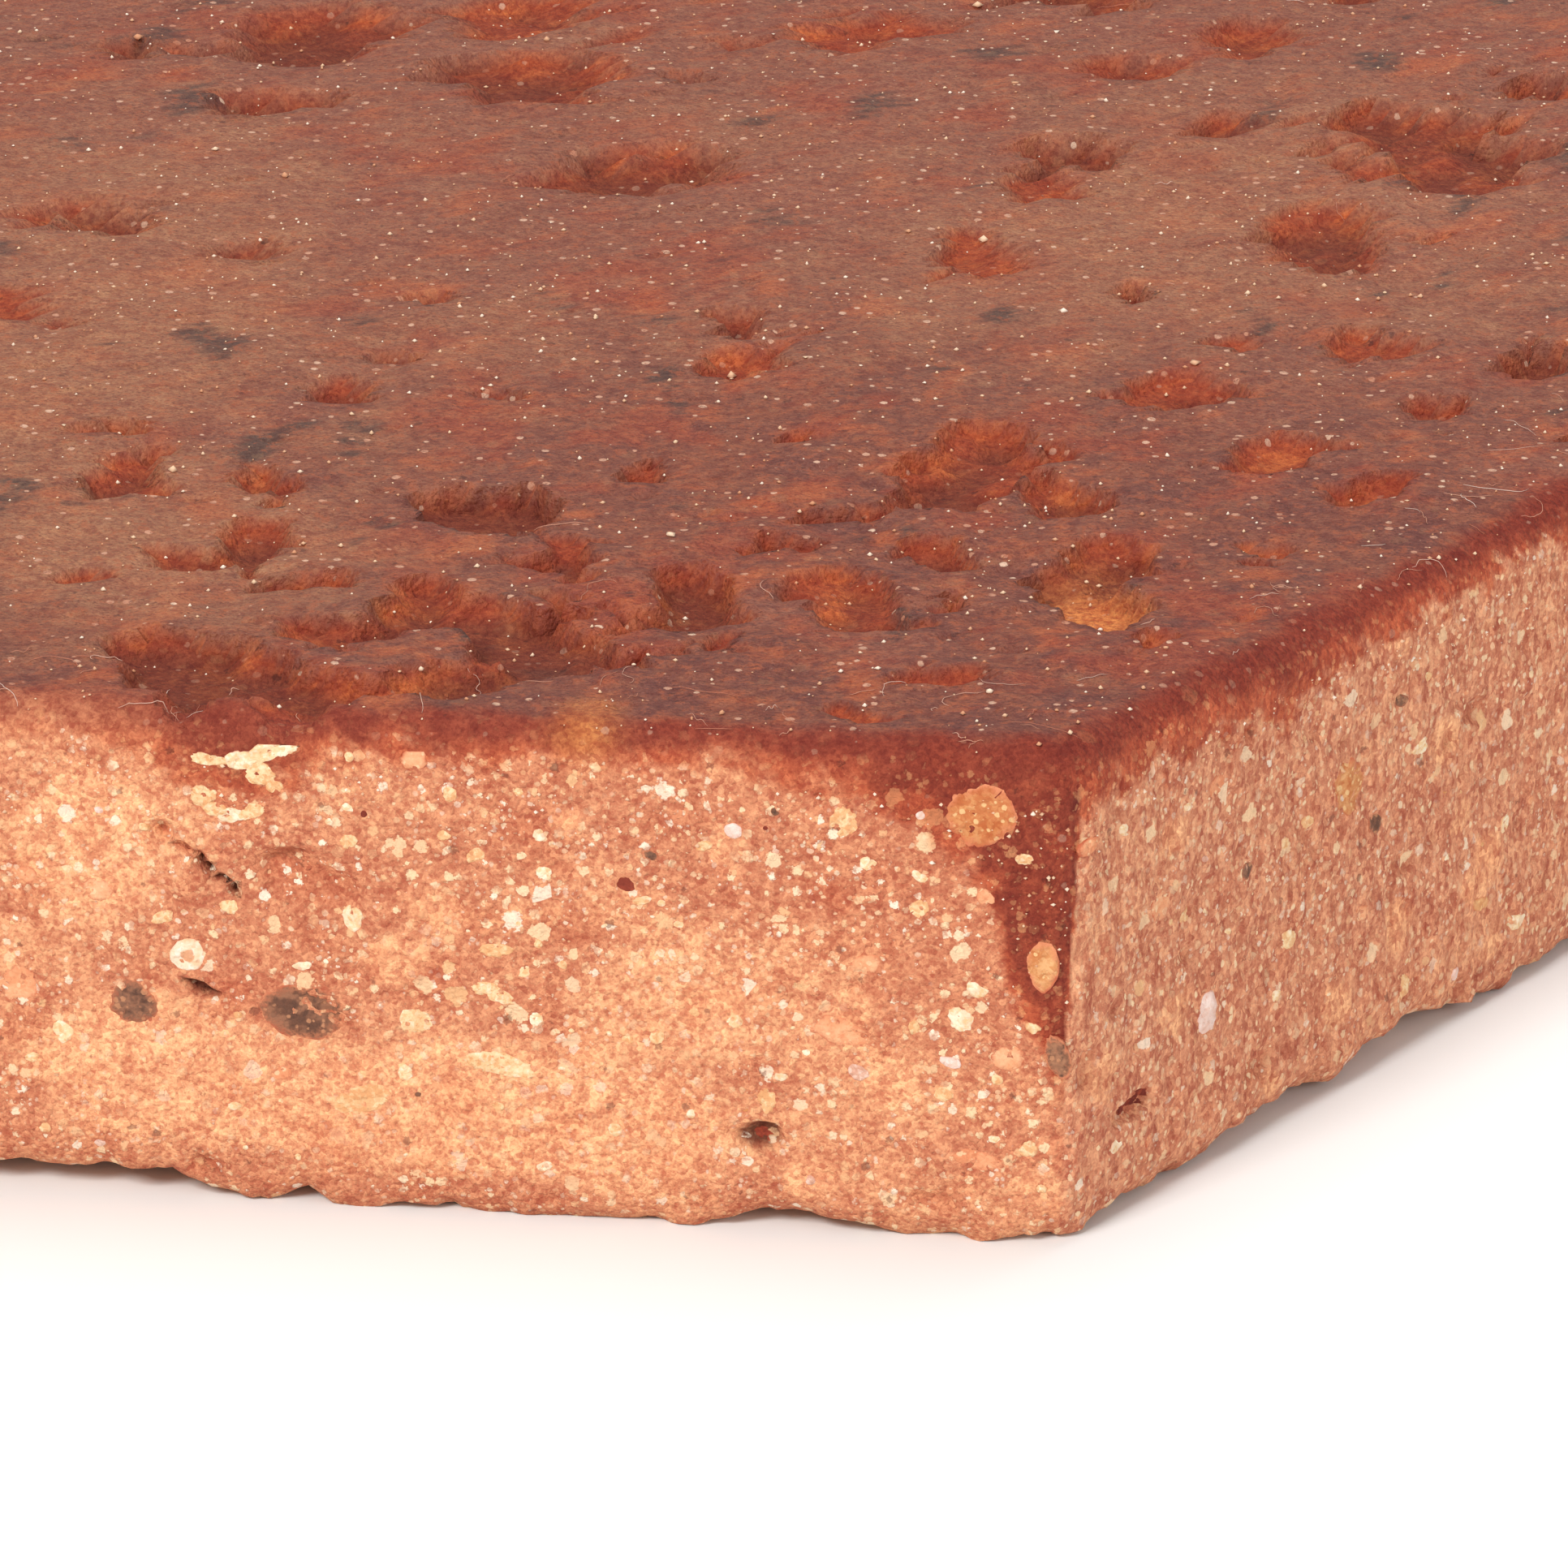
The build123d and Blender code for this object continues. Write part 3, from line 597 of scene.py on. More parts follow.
start = phiP[0]
turnP = ((phiP - start) / (2 * math.pi)) % 1.0
turnP[0] = 0.0
prev, prev_t = ub + (len(insets) - 1) * NP + np.arange(NP), turnP
nxt = ub + len(insets) * NP
scale, gap = 1 - 9.3 / A_OUT, 1.9
while scale > 0.03:
    m_ = max(8, int(2 * math.pi * scale * 105 / gap))
    tt = np.arange(m_) / m_
    ph = start + tt * 2 * math.pi
    P2 = rho(ph, A_OUT * scale, 60)[:, None] * np.c_[np.cos(ph), np.sin(ph)]
    P3 = np.c_[P2, np.zeros(m_)]
    zz = 0.10 + 0.16 * fbm(P3, 5, 3, 141) + 0.06 * perlin(P3, 0.9, 142)
    w1, v1 = worley(P3, 9.0, 144)
    zz = zz + 0.35 * sstep(0.30, 0.12, w1) * (v1 > 0.5)
    xyz.append(np.c_[P2, np.clip(zz, 0.0, None)])
    cur = nxt + np.arange(m_)
    f.append(stitch(prev, prev_t, cur, tt))
    prev, prev_t, nxt = cur, tt, nxt + m_
    scale -= gap / A_OUT
xyz.append(np.array([[0, 0, 0.1]]))
f.append(np.stack([prev, np.full(len(prev), nxt), np.roll(prev, -1)], 1))
xyz = np.concatenate(xyz)
n0 = nb * NP
rest = xyz[n0:]
sand = np.clip(0.5 + 0.6 * fbm(rest * [1, 1, 0], 12, 3, 151), 0, 1)
cu = mix(np.tile(C_MATRIX * 0.95, (len(rest), 1)), C_PEACH * 0.9, sand)
cu = mix(cu, srgb(196, 150, 118), 0.35 * sstep(0.1, 0.6, fbm(rest * [1, 1, 0], 4, 3, 152)))
body = make_mesh("clay_body_fired", xyz, f, {
    "tone": np.concatenate([cSide[seam_row * NP:], cu]),
    "specks": np.concatenate([spS[seam_row * NP:], np.full(len(rest), 0.55)]),
    "streak": np.concatenate([skS[seam_row * NP:], np.zeros(len(rest))]),
    "film": np.zeros(len(xyz)),
    "soak": np.concatenate([stS[seam_row * NP:], np.zeros(len(rest))])})
print("tile", len(skin.data.polygons), len(body.data.polygons))


# ------------------------------------------------------------------ stones
def surface(face, s, z):
    """Points of the worn edge face, from the distance along it and the height, and its outward direction."""
    n = np.array([math.cos(PHI[face]), math.sin(PHI[face])])
    tt = np.array([-n[1], n[0]])
    P2 = n * A_OUT + (s - SIDE / 2)[:, None] * tt
    P = np.c_[P2, z]
    dd = side_dip(P, lower_edge(P2))[0]
    return P - np.c_[np.tile(n, (len(P), 1)), np.zeros(len(P))] * dd[:, None], np.array([*n, 0.0])


STONES = {k: [] for k in ("cream", "lime", "quartz", "iron", "ochre", "peach", "red")}
NODE = {"cream": "cream_grog_chips", "lime": "lime_nodules", "quartz": "quartz_pebbles", "iron": "ironstone_nodules", "ochre": "ochre_clay_pellets",
        "peach": "peach_clay_pellets", "red": "red_grog_chips"}


def loose_boxes(ob):
    """The box of each separate solid of a CAD node, in mm."""
    me = ob.data
    co = np.zeros(len(me.vertices) * 3, np.float32)
    me.vertices.foreach_get("co", co)
    co = co.reshape(-1, 3).astype(float) * 1000
    k = np.round(co * 500).astype(np.int64)
    _, inv_ = np.unique(k[:, 0] * 4000037 * 3 + k[:, 1] * 40009 + k[:, 2], return_inverse=True)
    parent = list(range(inv_.max() + 1))

    def root(a):
        while parent[a] != a:
            parent[a] = parent[parent[a]]
            a = parent[a]
        return a
    for p in me.polygons:
        v = [int(inv_[i]) for i in p.vertices]
        for b in v[1:]:
            ra, rb = root(v[0]), root(b)
            if ra != rb:
                parent[rb] = ra
    group = {}
    for i in range(len(co)):
        group.setdefault(root(int(inv_[i])), []).append(i)
    return [co[g] for g in group.values()]


GROW = {"iron": 1.28, "cream": 1.10}
for kind, node in NODE.items():
    for pts in loose_boxes(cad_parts[node]):
        c = (pts.min(0) + pts.max(0)) / 2
        ff, ss = along(c[None, :2])
        face = int(ff[0])
        tt = np.array([-math.sin(PHI[face]), math.cos(PHI[face])])
        a = pts[:, :2] @ tt + SIDE / 2
        k = GROW.get(kind, 1.0)
        STONES[kind].append((face, float((a.min() + a.max()) / 2), float(c[2]), k * float(np.ptp(a)), k * float(np.ptp(pts[:, 2]))))
# the two branched cream chips under the arris, built up from pieces
STONES["cream"] = [q for q in STONES["cream"] if not (q[0] == 0 and 26 < q[1] - SIDE / 2 < 28 and q[2] > 15.6)]
for a, z, w, h, turn in [(25.9, 17.95, 1.5, .50, -.05), (26.9, 18.0, 1.3, .75, .2), (27.9, 18.25, 1.6, .8, .5), (28.75, 18.5, 1.1, .55, .6), (27.7, 17.4, 1.4, .9, -.6), (28.2, 16.95, .8, .5, -.4),
                         (25.6, 16.5, 1.1, .85, -.5), (25.95, 15.95, .9, .7, 0), (26.6, 15.75, 1.3, .6, .1), (27.4, 15.95, 1.2, .55, .3)]:
    STONES["cream"].append((0, a + SIDE / 2, z, w, h, turn))
# two more soft clay pellets at the corner
STONES["ochre"].append((0, 56.55 + SIDE / 2, 11.4, 1.25, 1.95, 0.0))
STONES["peach"].append((1, 1.1, 15.9, 1.3, .6, 0.1))
BIG = [q for v in STONES.values() for q in v]
# the smaller grains seen beside the corner: kind, face, along, height, width, height of it
SMALL = [("cream", 0, 30.9, 14.9, .7, .6), ("cream", 0, 31.0, 18.3, .4, .4), ("cream", 0, 30.9, 16.3, .45, .4), ("quartz", 0, 21.6, 15.7, .4, .3), ("lime", 0, 32.3, 18.15, 1.3, 1.0), ("peach", 0, 33.35, 18.3, .9, 1.0),
         ("cream", 0, 38.0, 15.6, .5, .5), ("cream", 0, 37.2, 17.2, .4, .4), ("cream", 0, 41.8, 13.2, .7, .4), ("iron", 0, 46.7, 17.0, .4, .4), ("cream", 0, 50.1, 15.1, .6, .6),
         ("cream", 0, 52.0, 14.7, .7, .4), ("cream", 0, 55.8, 15.6, .7, .5), ("quartz", 0, 52.0, 17.1, .4, .4), ("cream", 0, 18.8, 5.6, .6, .4), ("cream", 0, 37.4, 10.1, .5, .4),
         ("cream", 0, 37.8, 8.2, .5, .6), ("cream", 0, 38.8, 10.5, .4, .4), ("cream", 0, 39.5, 8.1, .35, .3), ("cream", 0, 32.9, 5.8, .7, .6), ("cream", 0, 42.3, 7.7, .6, .6),
         ("cream", 0, 43.7, 8.8, .45, .4), ("cream", 0, 38.1, 2.3, .7, .4), ("cream", 0, 43.1, 12.3, .4, .4), ("cream", 0, 42.5, 13.1, .4, .3), ("cream", 0, 56.2, 8.9, .5, .5),
         ("cream", 0, 51.8, 8.7, .4, .7), ("quartz", 0, 53.6, 7.4, .9, .5), ("cream", 0, 52.9, 6.1, .7, .7), ("cream", 0, 54.9, 6.8, .5, .45), ("cream", 0, 51.0, 5.5, .4, .4),
         ("cream", 0, 56.1, 4.1, .7, .7), ("cream", 0, 54.8, 4.4, .5, .3), ("quartz", 0, 48.0, 2.3, .45, .4), ("cream", 0, 46.9, 6.4, .5, .4), ("cream", 0, 56.6, 2.4, .4, .4),
         ("iron", 0, 57.15, 7.8, .9, 1.8), ("cream", 0, 34.7, 17.0, .6, .6)]
for kind, face, a, z, w, h in SMALL:
    a = a + SIDE / 2
    if all(not (q[0] == face and abs(q[1] - a) < (q[3] + w) / 2 and abs(q[2] - z) < (q[4] + h) / 2) for q in BIG):
        STONES[kind].append((face, a, z, w, h))
        BIG.append((face, a, z, w, h))
_r = random.Random(555)
for face in range(6):
    count = {0: 150, 1: 80}.get(face, 110)
    for _ in range(count):
        kind = _r.choices(("cream", "quartz", "iron", "peach", "red", "ochre"), (66, 9, 8, 9, 4, 4))[0]
        w = 0.22 + 0.55 * _r.random() ** 2.2
        h = w * _r.uniform(.6, 1.05)
        a, z = _r.uniform(2, SIDE - 2), _r.uniform(1.8, 16.3)
        if all(not (q[0] == face and abs(q[1] - a) < (q[3] + w) / 2 + .08 and abs(q[2] - z) < (q[4] + h) / 2 + .08) for q in BIG):
            STONES[kind].append((face, a, z, w, h))
            BIG.append((face, a, z, w, h))


def build_stones(name, items, ragged, proud, seed):
    """Each stone as a closed lump, its face following the worn clay, its outline broken."""
    rng_ = random.Random(seed)
    xyz, faces, tone = [], [], []
    total = 0
    by_face = {}
    for it in items:
        by_face.setdefault(it[0], []).append(it)
    for face, group in by_face.items():
        S, Z, meta = [], [], []
        for (_, a, z, w, h, *fixed) in group:
            size = max(w, h)
            nn = 12 if size < .45 else (20 if size < 1 else (34 if size < 2 else 48))
            rings_ = (1.0, .86, .55, .25) if size > .45 else (1.0, .7)
            th = np.arange(nn) / nn * 2 * math.pi
            # a broken outline: a few corners joined by near-straight runs, then fine raggedness
            nc = rng_.randint(5, 8)
            ca = np.sort(np.array([(q + rng_.uniform(-.33, .33)) / nc * 2 * math.pi for q in range(nc)]))
            cr = np.array([1 + ragged * rng_.uniform(-1.6, .8) for _ in range(nc)])
            rad = np.interp(th, np.r_[ca - 2 * math.pi, ca, ca + 2 * math.pi], np.r_[cr, cr, cr])
            rad = rad + ragged * .38 * np.array([rng_.uniform(-1, 1) for _ in range(nn)])
            rad = rad / rad.mean()
            turn = fixed[0] if fixed else rng_.uniform(-.35, .35)
            for q in rings_:
                x, y = rad * q * w / 2 * np.cos(th), rad * q * h / 2 * np.sin(th)
                S.append(a + x * math.cos(turn) - y * math.sin(turn))
                Z.append(np.clip(z + x * math.sin(turn) + y * math.cos(turn), .15, 18.6))
            S.append(np.array([a])); Z.append(np.array([z]))
            meta.append((nn, len(rings_), w, h, rng_.random()))
        pts, n3 = surface(face, np.concatenate(S), np.concatenate(Z))
        zz = np.concatenate(Z)
        # over the start of the arris the surface leans back
        lean = np.clip(zz - (THICK - ARRIS), 0, ARRIS)
        pts = pts - n3 * (ARRIS - np.sqrt(np.clip(ARRIS ** 2 - lean ** 2, 0, None)))[:, None]
        k = 0
        for (nn, nr_, w, h, rnd) in meta:
            cnt = nn * nr_ + 1
            P = pts[k:k + cnt].copy()
            k += cnt
            size = min(w, h)
            lift = [-.03] + [proud * (1 if q == 1 else 1.15) for q in range(1, nr_)]
            for q in range(nr_):
                P[q * nn:(q + 1) * nn] += n3 * lift[q]
            P[-1] += n3 * proud * 1.2
            jit = perlin(P, max(.18, size * .3), seed) * min(.035, size * .05)
            P[nn:] += n3 * jit[nn:, None]
            # back of the stone, inside the clay
            depth = min(1.1, .25 + .45 * size)
            mid = P[:nn].mean(0)
            b1 = (P[:nn] - mid) * .82 + mid - n3 * depth * .55
            b2 = mid - n3 * depth
            P = np.concatenate([P, b1, [b2]])
            xyz.append(P)
            idx = np.arange(nn)
            for q in range(nr_ - 1):
                a_, b_ = total + q * nn + idx, total + (q + 1) * nn + idx
                faces.append(np.stack([a_, np.roll(a_, -1), np.roll(b_, -1)], 1))
                faces.append(np.stack([a_, np.roll(b_, -1), b_], 1))
            a_ = total + (nr_ - 1) * nn + idx
            faces.append(np.stack([a_, np.roll(a_, -1), np.full(nn, total + nr_ * nn)], 1))
            o = total + idx
            bb = total + nr_ * nn + 1 + idx
            faces.append(np.stack([o, bb, np.roll(bb, -1)], 1))
            faces.append(np.stack([o, np.roll(bb, -1), np.roll(o, -1)], 1))
            faces.append(np.stack([bb, np.full(nn, total + nr_ * nn + 1 + nn), np.roll(bb, -1)], 1))
            edge = np.zeros(len(P))
            for q, ring_q in enumerate((1.0, .86, .55, .25) if nr_ == 4 else (1.0, .7)):
                edge[q * nn:(q + 1) * nn] = ring_q ** 6
            mid_ = np.zeros(len(P))
            mid_[nn * max(1, nr_ - 1):nn * nr_ + 1] = 1
            tone.append(np.c_[edge, np.full(len(P), rnd), mid_])
            total += len(P)
    xyz, tone = np.concatenate(xyz), np.concatenate(tone)
    return make_mesh(name, xyz, faces, {"rim": tone[:, 0], "each": tone[:, 1], "mid": tone[:, 2]}, sharp=70)


STONE_SHAPE = {"cream": (.24, .020), "lime": (.07, .045), "quartz": (.14, .035), "iron": (.16, .020), "ochre": (.10, .020), "peach": (.14, .012), "red": (.18, .020)}
stone_obs = {}
for n_, (kind, items) in enumerate(STONES.items()):
    ragged, proud = STONE_SHAPE[kind]
    stone_obs[kind] = build_stones(NODE[kind] + "_broken", items, ragged, proud, 700 + n_)
print("stones", {k: (len(STONES[k]), len(o.data.polygons)) for k, o in stone_obs.items()})


# ------------------------------------------------------------------ dust and lint lying on the sealer
def skin_height(P2):
    """Height of the wear face, arris included, over points in plan."""
    reach_ = np.max(P2 @ np.c_[np.cos(PHI), np.sin(PHI)].T, 1)
    over = np.clip((reach_ - A_IN) / ARRIS, 0, 0.999)
    return THICK - ARRIS * (1 - np.sqrt(1 - over ** 2)) - top_dip(np.c_[P2, np.full(len(P2), THICK)])[0]


rg = np.random.default_rng(4021)
P2 = rg.uniform([-115, -100], [115, 100], (23000, 2))
reach_ = np.max(P2 @ np.c_[np.cos(PHI), np.sin(PHI)].T, 1)
keep = (reach_ < 99.3) & (rg.random(len(P2)) < 0.55 + 0.45 * sstep(-0.2, 0.4, fbm(np.c_[P2, P2[:, 0] * 0], 12, 3, 201)))
P2 = P2[keep]
size_ = 0.050 + 0.085 * rg.random(len(P2)) ** 2.5
size_[:160] = rg.uniform(.14, .30, 160)
mid_ = np.c_[P2, skin_height(P2) + size_ * 0.35]
side_pts = []
for face in range(6):
    cnt = 420 if face < 2 else 260
    s_, z_ = rg.uniform(1.0, SIDE - 1.0, cnt), 17.9 - rg.random(cnt) ** 1.3 * 2.6
    if face == 0:
        s_[:70] = SIDE - rg.random(70) ** 1.5 * 5 - .3
        z_[:70] = rg.uniform(10, 17.5, 70)
    side_pts.append(surface(face, s_, z_)[0])
side_pts = np.concatenate(side_pts)
mid_ = np.concatenate([mid_, side_pts])
size_ = np.concatenate([size_, 0.045 + 0.08 * rg.random(len(side_pts)) ** 2])
OCTA = np.array([[1, 0, 0], [-1, 0, 0], [0, 1, 0], [0, -1, 0], [0, 0, 1], [0, 0, -1]], float)
OCTF = np.array([[0, 2, 4], [2, 1, 4], [1, 3, 4], [3, 0, 4], [2, 0, 5], [1, 2, 5], [3, 1, 5], [0, 3, 5]])
grain_ = OCTA[None] * (size_[:, None, None] * rg.uniform(.55, 1.25, (len(size_), 6, 1)))
turn_ = rg.uniform(0, 6.28, len(size_))
gx = grain_[:, :, 0] * np.cos(turn_)[:, None] - grain_[:, :, 1] * np.sin(turn_)[:, None]
gy = grain_[:, :, 0] * np.sin(turn_)[:, None] + grain_[:, :, 1] * np.cos(turn_)[:, None]
xyz = (mid_[:, None, :] + np.stack([gx, gy, grain_[:, :, 2] * .8], -1)).reshape(-1, 3)
xyz[:, 2] = np.minimum(xyz[:, 2], 19.995)
fc = (OCTF[None] + 6 * np.arange(len(size_))[:, None, None]).reshape(-1, 3)
dust = make_mesh("surface_dust", xyz, [fc], {"rim": np.zeros(len(xyz)), "each": np.repeat(rg.random(len(size_)), 6)}, sharp=0)


def fibre(path, r):
    """A closed thin tube of three sides along a path."""
    path = np.asarray(path)
    tn = np.gradient(path, axis=0)
    tn /= np.linalg.norm(tn, axis=1)[:, None]
    a_ = np.cross(tn, [0.2, 0.1, 1.0])
    a_ /= np.linalg.norm(a_, axis=1)[:, None] + 1e-9
    b_ = np.cross(tn, a_)
    k_ = len(path)
    rr = r * np.sin(np.linspace(0.25, math.pi - 0.25, k_))[:, None] ** 0.5
    V_ = np.concatenate([path + rr * (a_ * math.cos(t_) + b_ * math.sin(t_)) for t_ in (0, 2.094, 4.189)])
    F_ = []
    for q in range(3):
        i0, i1 = q * k_ + np.arange(k_ - 1), ((q + 1) % 3) * k_ + np.arange(k_ - 1)
        F_.append(np.stack([i0, i0 + 1, i1 + 1], 1)); F_.append(np.stack([i0, i1 + 1, i1], 1))
    F_.append(np.array([[0, k_, 2 * k_], [k_ - 1, 3 * k_ - 1, 2 * k_ - 1]]))
    return V_, np.concatenate(F_)


vs, fs, total = [], [], 0
ends = []
for _ in range(300):
    near_edge = rg.random() < 0.5
    if near_edge:
        face, s_ = int(rg.integers(0, 6)), rg.uniform(2, SIDE - 2)
        if rg.random() < 0.45:
            face, s_ = (0, rg.uniform(60, SIDE - 2)) if rg.random() < .6 else (1, rg.uniform(1, 40))
        nn_ = np.array([math.cos(PHI[face]), math.sin(PHI[face])])
        c0 = nn_ * rg.uniform(94, 99) + (s_ - SIDE / 2) * np.array([-nn_[1], nn_[0]])
    else:
        c0 = np.array([rg.uniform(-95, 95), rg.uniform(-92, 92)])
    if np.max(c0 @ np.c_[np.cos(PHI), np.sin(PHI)].T) > 99:
        continue
    k_, step_ = 13, (0.5 + 2.6 * rg.random() ** 1.8) / 12
    ang = rg.uniform(0, 6.28) + np.cumsum(rg.normal(0, rg.uniform(.1, .55), k_))
    path = c0 + np.cumsum(np.c_[np.cos(ang), np.sin(ang)] * step_, 0)
    rc = np.max(path @ np.c_[np.cos(PHI), np.sin(PHI)].T, 1)
    path = path * np.minimum(1.0, 99.75 / rc)[:, None]
    ends.append((path, 0.02 + 0.16 * rg.random() ** 2 * np.sin(np.linspace(0, math.pi * rg.choice([1, 2]), k_)) ** 2, rg.uniform(.010, .019)))
hh = skin_height(np.concatenate([q[0] for q in ends]))
for k_, (path, lift, r_) in enumerate(ends):
    z_ = np.minimum(hh[k_ * 13:(k_ + 1) * 13] + lift, 19.96)
    v_, f_ = fibre(np.c_[path, z_], r_)
    v_[:, 2] = np.minimum(v_[:, 2], 19.995)
    vs.append(v_); fs.append(f_ + total); total += len(v_)
lint = make_mesh("lint_fibres", np.concatenate(vs), [np.concatenate(fs)], {"each": np.repeat(rg.random(len(ends)), 39)}, sharp=0)
print("dust", len(dust.data.polygons), "lint", len(lint.data.polygons))


# ------------------------------------------------------------------ materials
class Nodes:
    """Short calls for building a material's nodes. Lengths in the patterns are millimetres."""

    def __init__(self, name):
        self.mat = bpy.data.materials.new(name)
        self.mat.use_nodes = True
        self.t = self.mat.node_tree
        self.b = self.t.nodes["Principled BSDF"]
        tc = self.t.nodes.new("ShaderNodeTexCoord")
        mp = self.t.nodes.new("ShaderNodeMapping")
        mp.inputs["Scale"].default_value = (1000, 1000, 1000)
        self.link(tc.outputs["Object"], mp.inputs["Vector"])
        self.mm = mp.outputs["Vector"]

    def link(self, a, b):
        self.t.links.new(a, b)

    def put(self, sock, v):
        if isinstance(v, bpy.types.NodeSocket):
            self.link(v, sock)
        elif hasattr(v, "__len__") and len(v) == 3 and sock.type == "RGBA":
            sock.default_value = (*map(float, v), 1)
        else:
            sock.default_value = v

    def math(self, op, a, b=0.0, c=0.0, clamp=False):
        n = self.t.nodes.new("ShaderNodeMath")
        n.operation, n.use_clamp = op, clamp
        self.put(n.inputs[0], a); self.put(n.inputs[1], b); self.put(n.inputs[2], c)
        return n.outputs[0]

    def ramp(self, v, a, b, lo=0.0, hi=1.0):
        n = self.t.nodes.new("ShaderNodeMapRange")
        n.interpolation_type = "SMOOTHSTEP"
        self.put(n.inputs["Value"], v)
        for k, x in zip(("From Min", "From Max", "To Min", "To Max"), (a, b, lo, hi)):
            self.put(n.inputs[k], x)
        return n.outputs["Result"]

    def mix(self, f, a, b, mode="MIX"):
        n = self.t.nodes.new("ShaderNodeMix")
        n.data_type, n.blend_type = "RGBA", mode
        n.clamp_factor = True
        self.put(n.inputs[0], f); self.put(n.inputs[6], a); self.put(n.inputs[7], b)
        return n.outputs[2]

    def noise(self, size, detail=2, rough=0.5, coord=None, offset=0.0, stretch=None):
        co = coord or self.mm
        if offset or stretch:
            mp = self.t.nodes.new("ShaderNodeMapping")
            mp.inputs["Location"].default_value = (offset, offset * .7, -offset)
            if stretch:
                mp.inputs["Scale"].default_value = stretch
            self.link(co, mp.inputs["Vector"])
            co = mp.outputs["Vector"]
        n = self.t.nodes.new("ShaderNodeTexNoise")
        n.inputs["Scale"].default_value = 1.0 / size
        n.inputs["Detail"].default_value = detail
        n.inputs["Roughness"].default_value = rough
        self.link(co, n.inputs["Vector"])
        return n.outputs["Fac"], n.outputs["Color"]

    def specks(self, cell, rmin, rmax, share, offset, soft=0.07, wobble=0.22, stretch=None, bend=None):
        """A mask of scattered irregular grains, and two random numbers, the same all over each grain."""
        mp = self.t.nodes.new("ShaderNodeMapping")
        mp.inputs["Location"].default_value = (offset, -offset * .6, offset * .37)
        k = 1.0 / cell
        mp.inputs["Scale"].default_value = (k, k, k) if not stretch else (k * stretch[0], k * stretch[1], k * stretch[2])
        self.link(self.mm, mp.inputs["Vector"])
        v = self.t.nodes.new("ShaderNodeTexVoronoi")
        v.feature = "F1"
        v.inputs["Scale"].default_value = 1.0
        self.link(mp.outputs["Vector"], v.inputs["Vector"])
        sep = self.t.nodes.new("ShaderNodeSeparateColor")
        self.link(v.outputs["Color"], sep.inputs[0])
        r = self.math("MULTIPLY_ADD", self.math("POWER", sep.outputs[0], 1.6), rmax - rmin, rmin)
        d = v.outputs["Distance"]
        if bend is not None:
            d = self.math("ADD", d, self.math("MULTIPLY", self.math("SUBTRACT", bend, 0.5), wobble))
        m = self.ramp(self.math("SUBTRACT", r, d), 0.0, soft)
        on = self.math("LESS_THAN", sep.outputs[1], share)
        return self.math("MULTIPLY", m, on), sep.outputs[2], sep.outputs[0]

    def grains(self, cell, offset, stretch=(1, 1, 1)):
        """A random number for each grain of a close packing, and the distance from the grain's middle, in cells."""
        mp = self.t.nodes.new("ShaderNodeMapping")
        mp.inputs["Location"].default_value = (offset, -offset * .6, offset * .37)
        mp.inputs["Scale"].default_value = tuple(q / cell for q in stretch)
        self.link(self.mm, mp.inputs["Vector"])
        v = self.t.nodes.new("ShaderNodeTexVoronoi")
        v.inputs["Scale"].default_value = 1.0
        self.link(mp.outputs["Vector"], v.inputs["Vector"])
        sep = self.t.nodes.new("ShaderNodeSeparateColor")
        self.link(v.outputs["Color"], sep.inputs[0])
        return sep.outputs[0], v.outputs["Distance"]

    def mixf(self, f, a, b):
        n = self.t.nodes.new("ShaderNodeMix")
        n.data_type = "FLOAT"
        self.put(n.inputs[0], f); self.put(n.inputs[2], a); self.put(n.inputs[3], b)
        return n.outputs[0]

    def attr(self, name):
        n = self.t.nodes.new("ShaderNodeAttribute")
        n.attribute_type, n.attribute_name = "GEOMETRY", name
        return n.outputs["Color"], n.outputs["Fac"]

    def colour3(self, v, a, b, c):
        return self.mix(self.ramp(v, 0.5, 1.0), self.mix(self.ramp(v, 0.0, 0.5), a, b), c)

    def bump(self, height, dist, strength=1.0, normal=None):
        n = self.t.nodes.new("ShaderNodeBump")
        n.inputs["Strength"].default_value = strength
        n.inputs["Distance"].default_value = dist * 0.001
        self.link(height, n.inputs["Height"])
        if normal is not None:
            self.link(normal, n.inputs["Normal"])
        return n.outputs["Normal"]


CREAM, CREAM2, IVORY = tuple(srgb(250, 216, 172)), tuple(srgb(240, 182, 134)), tuple(srgb(254, 236, 212))


